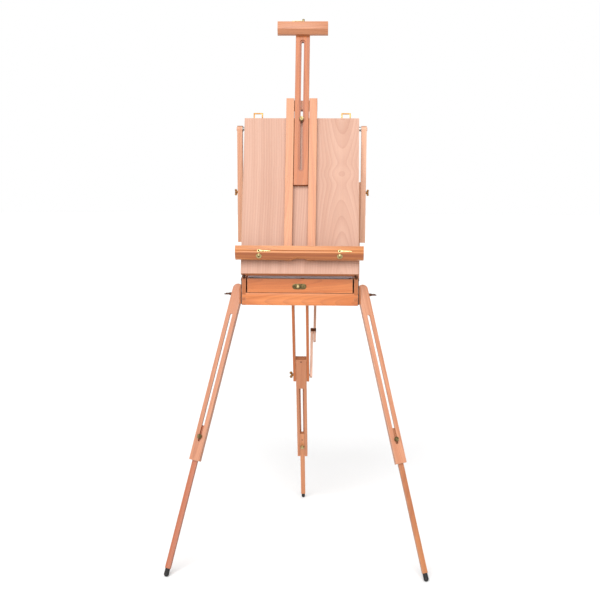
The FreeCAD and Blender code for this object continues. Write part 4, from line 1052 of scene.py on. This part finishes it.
def box_hinge_parts(side, leaf_x):
    """The box's hinge leaf, knuckle and latch keeper on one side."""
    box_low, box_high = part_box("box_sides")
    leaf = plate_with_screws(9, 6, 0.8, (), 1)
    keeper = plate_with_screws(16, 18, 1.5, ((-4.5, -4), (4.5, -4)), 2)
    lip = slab([(-8, 0), (8, 0), (8, 1.9), (6.8, 3.0), (-6.8, 3.0), (-8, 1.9)], 2, 0.3)
    keeper_at = Vector((side * LATCH_AT, box_high.y, HINGE.z - 17 * MM))
    return [
        (leaf, axes_at((side * leaf_x, box_low.y, HINGE.z - 4 * MM), -Y_AXIS)),
        (knuckle(5.0), axes_at((side * (leaf_x + 0.2 * MM), HINGE.y, HINGE.z), X_AXIS * side)),
        (keeper, axes_at(keeper_at, Y_AXIS, X_AXIS)),
        (lip, axes_at(keeper_at + Y_AXIS * 0.4 * MM, Z_AXIS, X_AXIS)),
    ]


def lid_hinge_parts(side, leaf_x):
    """The lid's hinge leaf and knuckle, and its latch base with the lug for the loop's pin."""
    leaf = slab(round_outline(5.2, 20, 0.6), 1, 0.2)
    base = plate_with_screws(20, 24, 1.5, ((-6, -7), (6, -7), (-6, 8), (6, 8)), 2)
    lug = lathe([(1.9, 0), (3.1, 0), (3.3, 0.2), (3.3, 9.8), (3.1, 10), (1.9, 10)], 28)
    foot = slab(round_outline(10, 4, 0.5), 1.6, 0.2)
    return [
        (knuckle(5.1), axes_at((side * (leaf_x - 5.6 * MM), HINGE.y, HINGE.z), X_AXIS * side)),
        (leaf, lid_axes(side * (leaf_x - 3 * MM), 2.2, 10, LID_ALONG)),
        (base, lid_axes(side * LATCH_AT, LID_LONG, 15, LID_ALONG)),
        (lug, lid_axes(side * LATCH_AT - 5 * MM, LID_LONG + 4, 12, X_AXIS)),
        (foot, lid_axes(side * LATCH_AT, LID_LONG + 0.8, 12, LID_ALONG)),
    ]


def make_hinges():
    """The hinges between the box and the lid, the latch fittings and the struts' spacers on the lid."""
    leaf_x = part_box("box_brass_fittings")[1].x - 5.2 * MM
    spacer = [(3.1, 0), (8.4, 0), (9.0, 0.5), (9.0, 1.6), (6.6, 2.1), (6.2, 2.6)]
    spacer += [(6.2, 4.8), (6.6, 5.3), (8.8, 5.9), (8.8, 7.2), (3.1, 7.2)]
    spacer_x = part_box("lid_frame")[1].x
    box_parts, lid_parts, spacers = [], [], []
    for _, side in SIDES:
        box_parts += box_hinge_parts(side, leaf_x)
        lid_parts += lid_hinge_parts(side, leaf_x)
        spacer_place = lid_axes(side * spacer_x, STRUT_TOP_ALONG, STRUT_TOP_OUT, X_AXIS * side)
        spacers.append((lathe(spacer, 40), spacer_place))
    instead("box_brass_fittings", "box_brass", gathered(*box_parts), METAL["bronze"])
    instead("lid_brass_fittings", "lid_brass", gathered(*lid_parts), METAL["bronze"])
    piece("lid_strut_spacers", gathered(*spacers), "lid", METAL["steel"])


def make_latch_plate():
    """The stadium plate on the drawer's front, with its two ringed screws."""
    low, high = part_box("drawer_latch_plate")
    middle = (low + high) / 2
    wide, tall = (high.x - low.x) / MM, (high.z - low.z) / MM
    place = axes_at((middle.x, high.y, middle.z), -Y_AXIS, X_AXIS)
    rim = slab(round_outline(wide, tall, tall / 2 - 0.05, 12), 1.0, 0.35)
    field = slab(round_outline(wide - 4, tall - 4, tall / 2 - 2.1, 12), 0.6, 0.2)
    parts = [(rim, place), (field, place @ raised(1.0))]
    screws = []
    for side in (-1, 1):
        at = place @ shifted_by(side * (wide / 2 - tall * 0.30), 0, 1.5)
        parts.append((lathe([(3.1, 0), (4.6, 0), (4.7, 0.4), (4.2, 0.9), (3.1, 0.6)], 32), at))
        screws.append((screw_head(3.0, 1.0), at @ Matrix.Rotation(0.5 * side, 4, "Z")))
    instead("drawer_latch_plate", "drawer_plate_brass", gathered(*parts), METAL["dark"])
    piece("drawer_plate_screws", gathered(*screws), "drawer", METAL["dark"])


def make_latch_knob():
    """The turn button on the drawer's plate."""
    place = axes_at(pivot_of("drawer_latch_turn"), -Y_AXIS, X_AXIS)
    collar = lathe([(0, 1.7), (5.6, 1.7), (5.6, 2.3), (4.6, 2.8), (3.4, 3.2), (3.2, 4.4), (0, 4.4)], 36)
    profile = [(0, 4.2), (4.2, 4.2), (5.4, 4.9), (5.7, 6.0), (5.3, 7.2), (4.2, 8.1), (2.4, 8.6), (0, 8.7)]
    button = lathe(profile, 40)
    spindle = lathe([(0, -12), (2.9, -12), (2.9, 2), (0, 2)], 24)
    bm = gathered((collar, place), (button, place), (spindle, place))
    instead("drawer_latch_knob", "drawer_knob_brass", bm, METAL["brass"])


def make_side_plates():
    """A steel plate with four screws at each front corner of the box."""
    low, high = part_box("box_sides")
    plate_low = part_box("leg_wedges")[0].z
    tall, broad, thick = 88, 9, 2.4
    middle_y, middle_z = low.y + (2 + broad / 2) * MM, plate_low + tall / 2 * MM
    parts = []
    for _, side in SIDES:
        place = axes_at((side * high.x, middle_y, middle_z), X_AXIS * side, Y_AXIS)
        screws = [(0, share * tall * side) for share in (-0.40, -0.14, 0.14, 0.42)]
        parts.append((plate_with_screws(broad, tall, thick, screws, 1.5, 2.8), place))
    piece("box_side_plates", gathered(*parts), "box", METAL["iron"])


def make_bracket_screws():
    """The two screws through the brace's bracket."""
    low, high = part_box("brace_bracket")
    middle = (low + high) / 2
    place = axes_at((high.x, middle.y, middle.z), X_AXIS, Y_AXIS)
    parts = [(screw_head(3.4, 1.2), place @ raised(0.1))]
    parts += [(screw_head(2.2, 0.8), place @ shifted_by(8, 6, 0.1))]
    piece("brace_bracket_screws", gathered(*parts), "box", METAL["steel"])


CLIP_ALONG = 164 * MM
CLIP_LONG = 12
BRACE_BROAD = 20


def make_brace_clip():
    """The strap at the top of the brace's lower strip, which the upper strip slides through."""
    along = axis_of("brace_slide")
    low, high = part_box("brace_lower")[0].x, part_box("brace_upper")[1].x
    start = pivot_of("brace_swing") + along * CLIP_ALONG
    start.x = (low + high) / 2
    wide, tall = (high - low) / MM + 0.4, BRACE_BROAD + 0.4
    bm = bmesh.new()
    rings = []
    for grown, height in ((1.0, 0), (1.0, CLIP_LONG), (0, CLIP_LONG), (0, 0)):
        outline = round_outline(wide + grown, tall + grown, 0.5 + grown, 5)
        rings.append([bm.verts.new(Vector((x, y, height)) * MM) for x, y in outline])
    for first, second in zip(rings, rings[1:] + rings[:1]):
        bridge(bm, first, second)
    bm = gathered((bm, axes_at(start, along, X_AXIS)))
    piece("brace_clip", bm, "brace_lower", METAL["bronze"])


def make_stop_screws():
    """The stop screws let into the front of the rear leg's two sliding bars."""
    down = axis_of("rear_leg_middle_slide")
    front = -X_AXIS.cross(down)
    pivot = pivot_of("rear_leg_fold")
    for body, along, out, head in (("rear_leg_middle", 250, 11.0, 2.6), ("rear_leg_lower", 630, 10.8, 2.3)):
        place = axes_at(pivot + (down * along + front * out) * MM, front, X_AXIS)
        piece(f"{body}_stop_screw", gathered((screw_head(head, 0.9), place)), body, METAL["iron"])


# ---------------------------------------------------------------- rubber, leather and zinc

GRIP_DROP = 26 * MM
GRIP_HALF = 54 * MM
GRIP_RINGS = 33
STITCHES = 25
POST_AT = 68 * MM
HANDLE = pivot_of("handle_swing")


def ferrule(ball):
    """A moulded ferrule along Z with three ribs, a socket and a worn round tip centred at Z = 0."""
    sleeve = 18
    rings = [(0, -ball)]
    for degrees in range(12, 91, 13):
        angle = radians(degrees)
        rings.append((ball * sin(angle), -ball * cos(angle)))
    rings.append((ball * 0.985, 2.0))
    for rib in range(3):
        at = 4.0 + 3.6 * rib
        rings += [(ball * 0.93, at), (ball, at + 0.7), (ball, at + 1.7), (ball * 0.93, at + 2.4)]
    rings += [(ball * 0.98, sleeve - 1.6), (ball * 0.98, sleeve - 0.6), (ball * 0.88, sleeve)]
    rings += [(ball * 0.62, sleeve), (ball * 0.60, sleeve - 11.5), (0, sleeve - 11.5)]
    return lathe(rings, 48)


def make_feet():
    """The three rubber feet, each with its ball in the corner of its node's box where the leg ends."""
    for node, slide, ball, outwards, backwards in (
        ("front_foot_left", "front_leg_slide_left", 8, -1, -1),
        ("front_foot_right", "front_leg_slide_right", 8, 1, -1),
        ("rear_foot", "rear_leg_lower_slide", 6.5, 0, 1),
    ):
        low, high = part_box(node)
        half = (high - low) / 2 - Vector((ball, ball, ball)) * MM
        middle = (low + high) / 2 + Vector((outwards * half.x, backwards * half.y, -half.z))
        bm = ferrule(ball)
        bm.transform(axes_at(middle, -axis_of(slide)))
        instead(node, f"{node}_rubber", bm, RUBBER)


def make_grip():
    """The handle's padded leather grip and its double row of stitches."""
    rings, radii = [], []
    for step in range(GRIP_RINGS):
        share = 2 * step / (GRIP_RINGS - 1) - 1
        sag = (0.7 - 1.5 * (1 - share * share)) * MM
        rings.append(HANDLE + Vector((share * (GRIP_HALF - MM), 0, sag - GRIP_DROP)))
        radii.append((7.2 + 0.8 * cos(share * pi / 2) - 1.8 * abs(share) ** 12) * MM)
    instead("carry_handle", "handle_grip_leather", tube(rings, radii, 28), LEATHER)
    stitches = []
    for step in range(STITCHES):
        share = (2 * step / (STITCHES - 1) - 1) * 0.9
        for lean in (-1.2, 1.2):
            deep = (0.6 * share ** 2 - 8.3) * MM - GRIP_DROP
            at = HANDLE + Vector((share * GRIP_HALF, lean * MM, deep))
            stitch = [at - X_AXIS * 1.2 * MM, at - Z_AXIS * 0.35 * MM, at + X_AXIS * 1.2 * MM]
            stitches.append((tube(stitch, [0.25 * MM, 0.42 * MM, 0.25 * MM], 8), HERE))
    piece("handle_stitching", gathered(*stitches), "handle", THREAD)


def make_handle_arms():
    """The handle's two bent brass arms and the caps on the grip's ends."""
    bend = 3.4 * MM
    parts = []
    for side in (-1, 1):
        start = HANDLE + Vector((side * GRIP_HALF, 0, MM - GRIP_DROP))
        top = HANDLE + X_AXIS * side * (GRIP_HALF + bend)
        line = [start, start + Z_AXIS * 8 * MM]
        line += arc(top - Z_AXIS * bend, bend, 180, 90, 6, (X_AXIS * side, Z_AXIS))
        line += [HANDLE + X_AXIS * side * (GRIP_HALF + 22 * MM)]
        cap = lathe([(0, -9.0), (7.6, -9.0), (8.2, -8), (8.0, 0), (7.0, 1.6), (0, 2.0)], 36)
        cap_place = axes_at(HANDLE + Vector((side * (GRIP_HALF - MM), 0, -GRIP_DROP)), X_AXIS * side)
        parts += [(tube(line, 2.9 * MM, 16), HERE), (cap, cap_place)]
    piece("handle_arms_brass", gathered(*parts), "handle", METAL["brass"])


def make_handle_posts():
    """The two posts on the box's back that the handle swings in, each an eye on a screwed plate."""
    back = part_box("box_sides")[1].y
    parts = []
    for side in (-1, 1):
        eye = lathe([(3.1, 0), (5.6, 0), (6.0, 0.4), (6.0, 17.6), (5.6, 18.0), (3.1, 18.0)], 36)
        base = plate_with_screws(24, 18, 1.6, ((-9.6, 0), (9.6, 0)), 3, 1.8)
        neck = slab(round_outline(15, 11, 2), 5.6, 0.4)
        base_place = axes_at((side * POST_AT, back, HANDLE.z), Y_AXIS, X_AXIS)
        eye_place = axes_at(HANDLE + X_AXIS * (side * POST_AT - 9 * MM), X_AXIS)
        parts += [(eye, eye_place), (base, base_place), (neck, base_place @ raised(1.4))]
    instead("handle_posts", "handle_posts_brass", gathered(*parts), METAL["dull"])


def make_liner():
    """The drawer's zinc tray, folded from sheet with a rolled rim."""
    low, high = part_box("drawer_liner")
    middle = (low + high) / 2
    wide, long = high.x - low.x, high.y - low.y
    sheet, roll, bend = 0.8 * MM, 1.3 * MM, 2 * MM
    rim = high.z - roll
    levels = [(0, low.z, 3), (0, rim, 3), (sheet, rim, 2.2)]
    levels += [(sheet, low.z + sheet + bend, 2.2), (sheet + bend, low.z + sheet, 1)]
    bm = bmesh.new()
    rings = []
    for inset, height, corner in levels:
        outline = round_outline(wide - 2 * inset, long - 2 * inset, corner * MM, 5)
        rings.append([bm.verts.new((middle.x + x, middle.y + y, height)) for x, y in outline])
    for first, second in zip(rings, rings[1:]):
        bridge(bm, first, second)
    bm.faces.new(list(reversed(rings[0])))
    bm.faces.new(rings[-1])
    outline = round_outline(wide - sheet, long - sheet, 2.6 * MM, 6)
    line = [(middle.x + x, middle.y + y, high.z - roll * 0.5) for x, y in outline]
    whole = gathered((bm, HERE), (tube(line, roll * 0.5, 10, closed=True), HERE))
    instead("drawer_liner", "drawer_liner_zinc", whole, ZINC)


def make_steel():
    """Steel for the pins and the brace's bracket, which keep their CAD shapes."""
    for node in ("pivot_pins", "brace_bracket"):
        materials = frame["nodes"][node].data.materials
        materials.clear()
        materials.append(METAL["steel"])


make_camera()
make_boards()
make_screws()
make_tray_hooks()
make_clamp_hook()
make_disc_nuts()
make_latch_loops()
make_hinges()
make_latch_plate()
make_latch_knob()
make_side_plates()
make_bracket_screws()
make_brace_clip()
make_stop_screws()
make_feet()
make_grip()
make_handle_arms()
make_handle_posts()
make_liner()
make_steel()
make_studio()
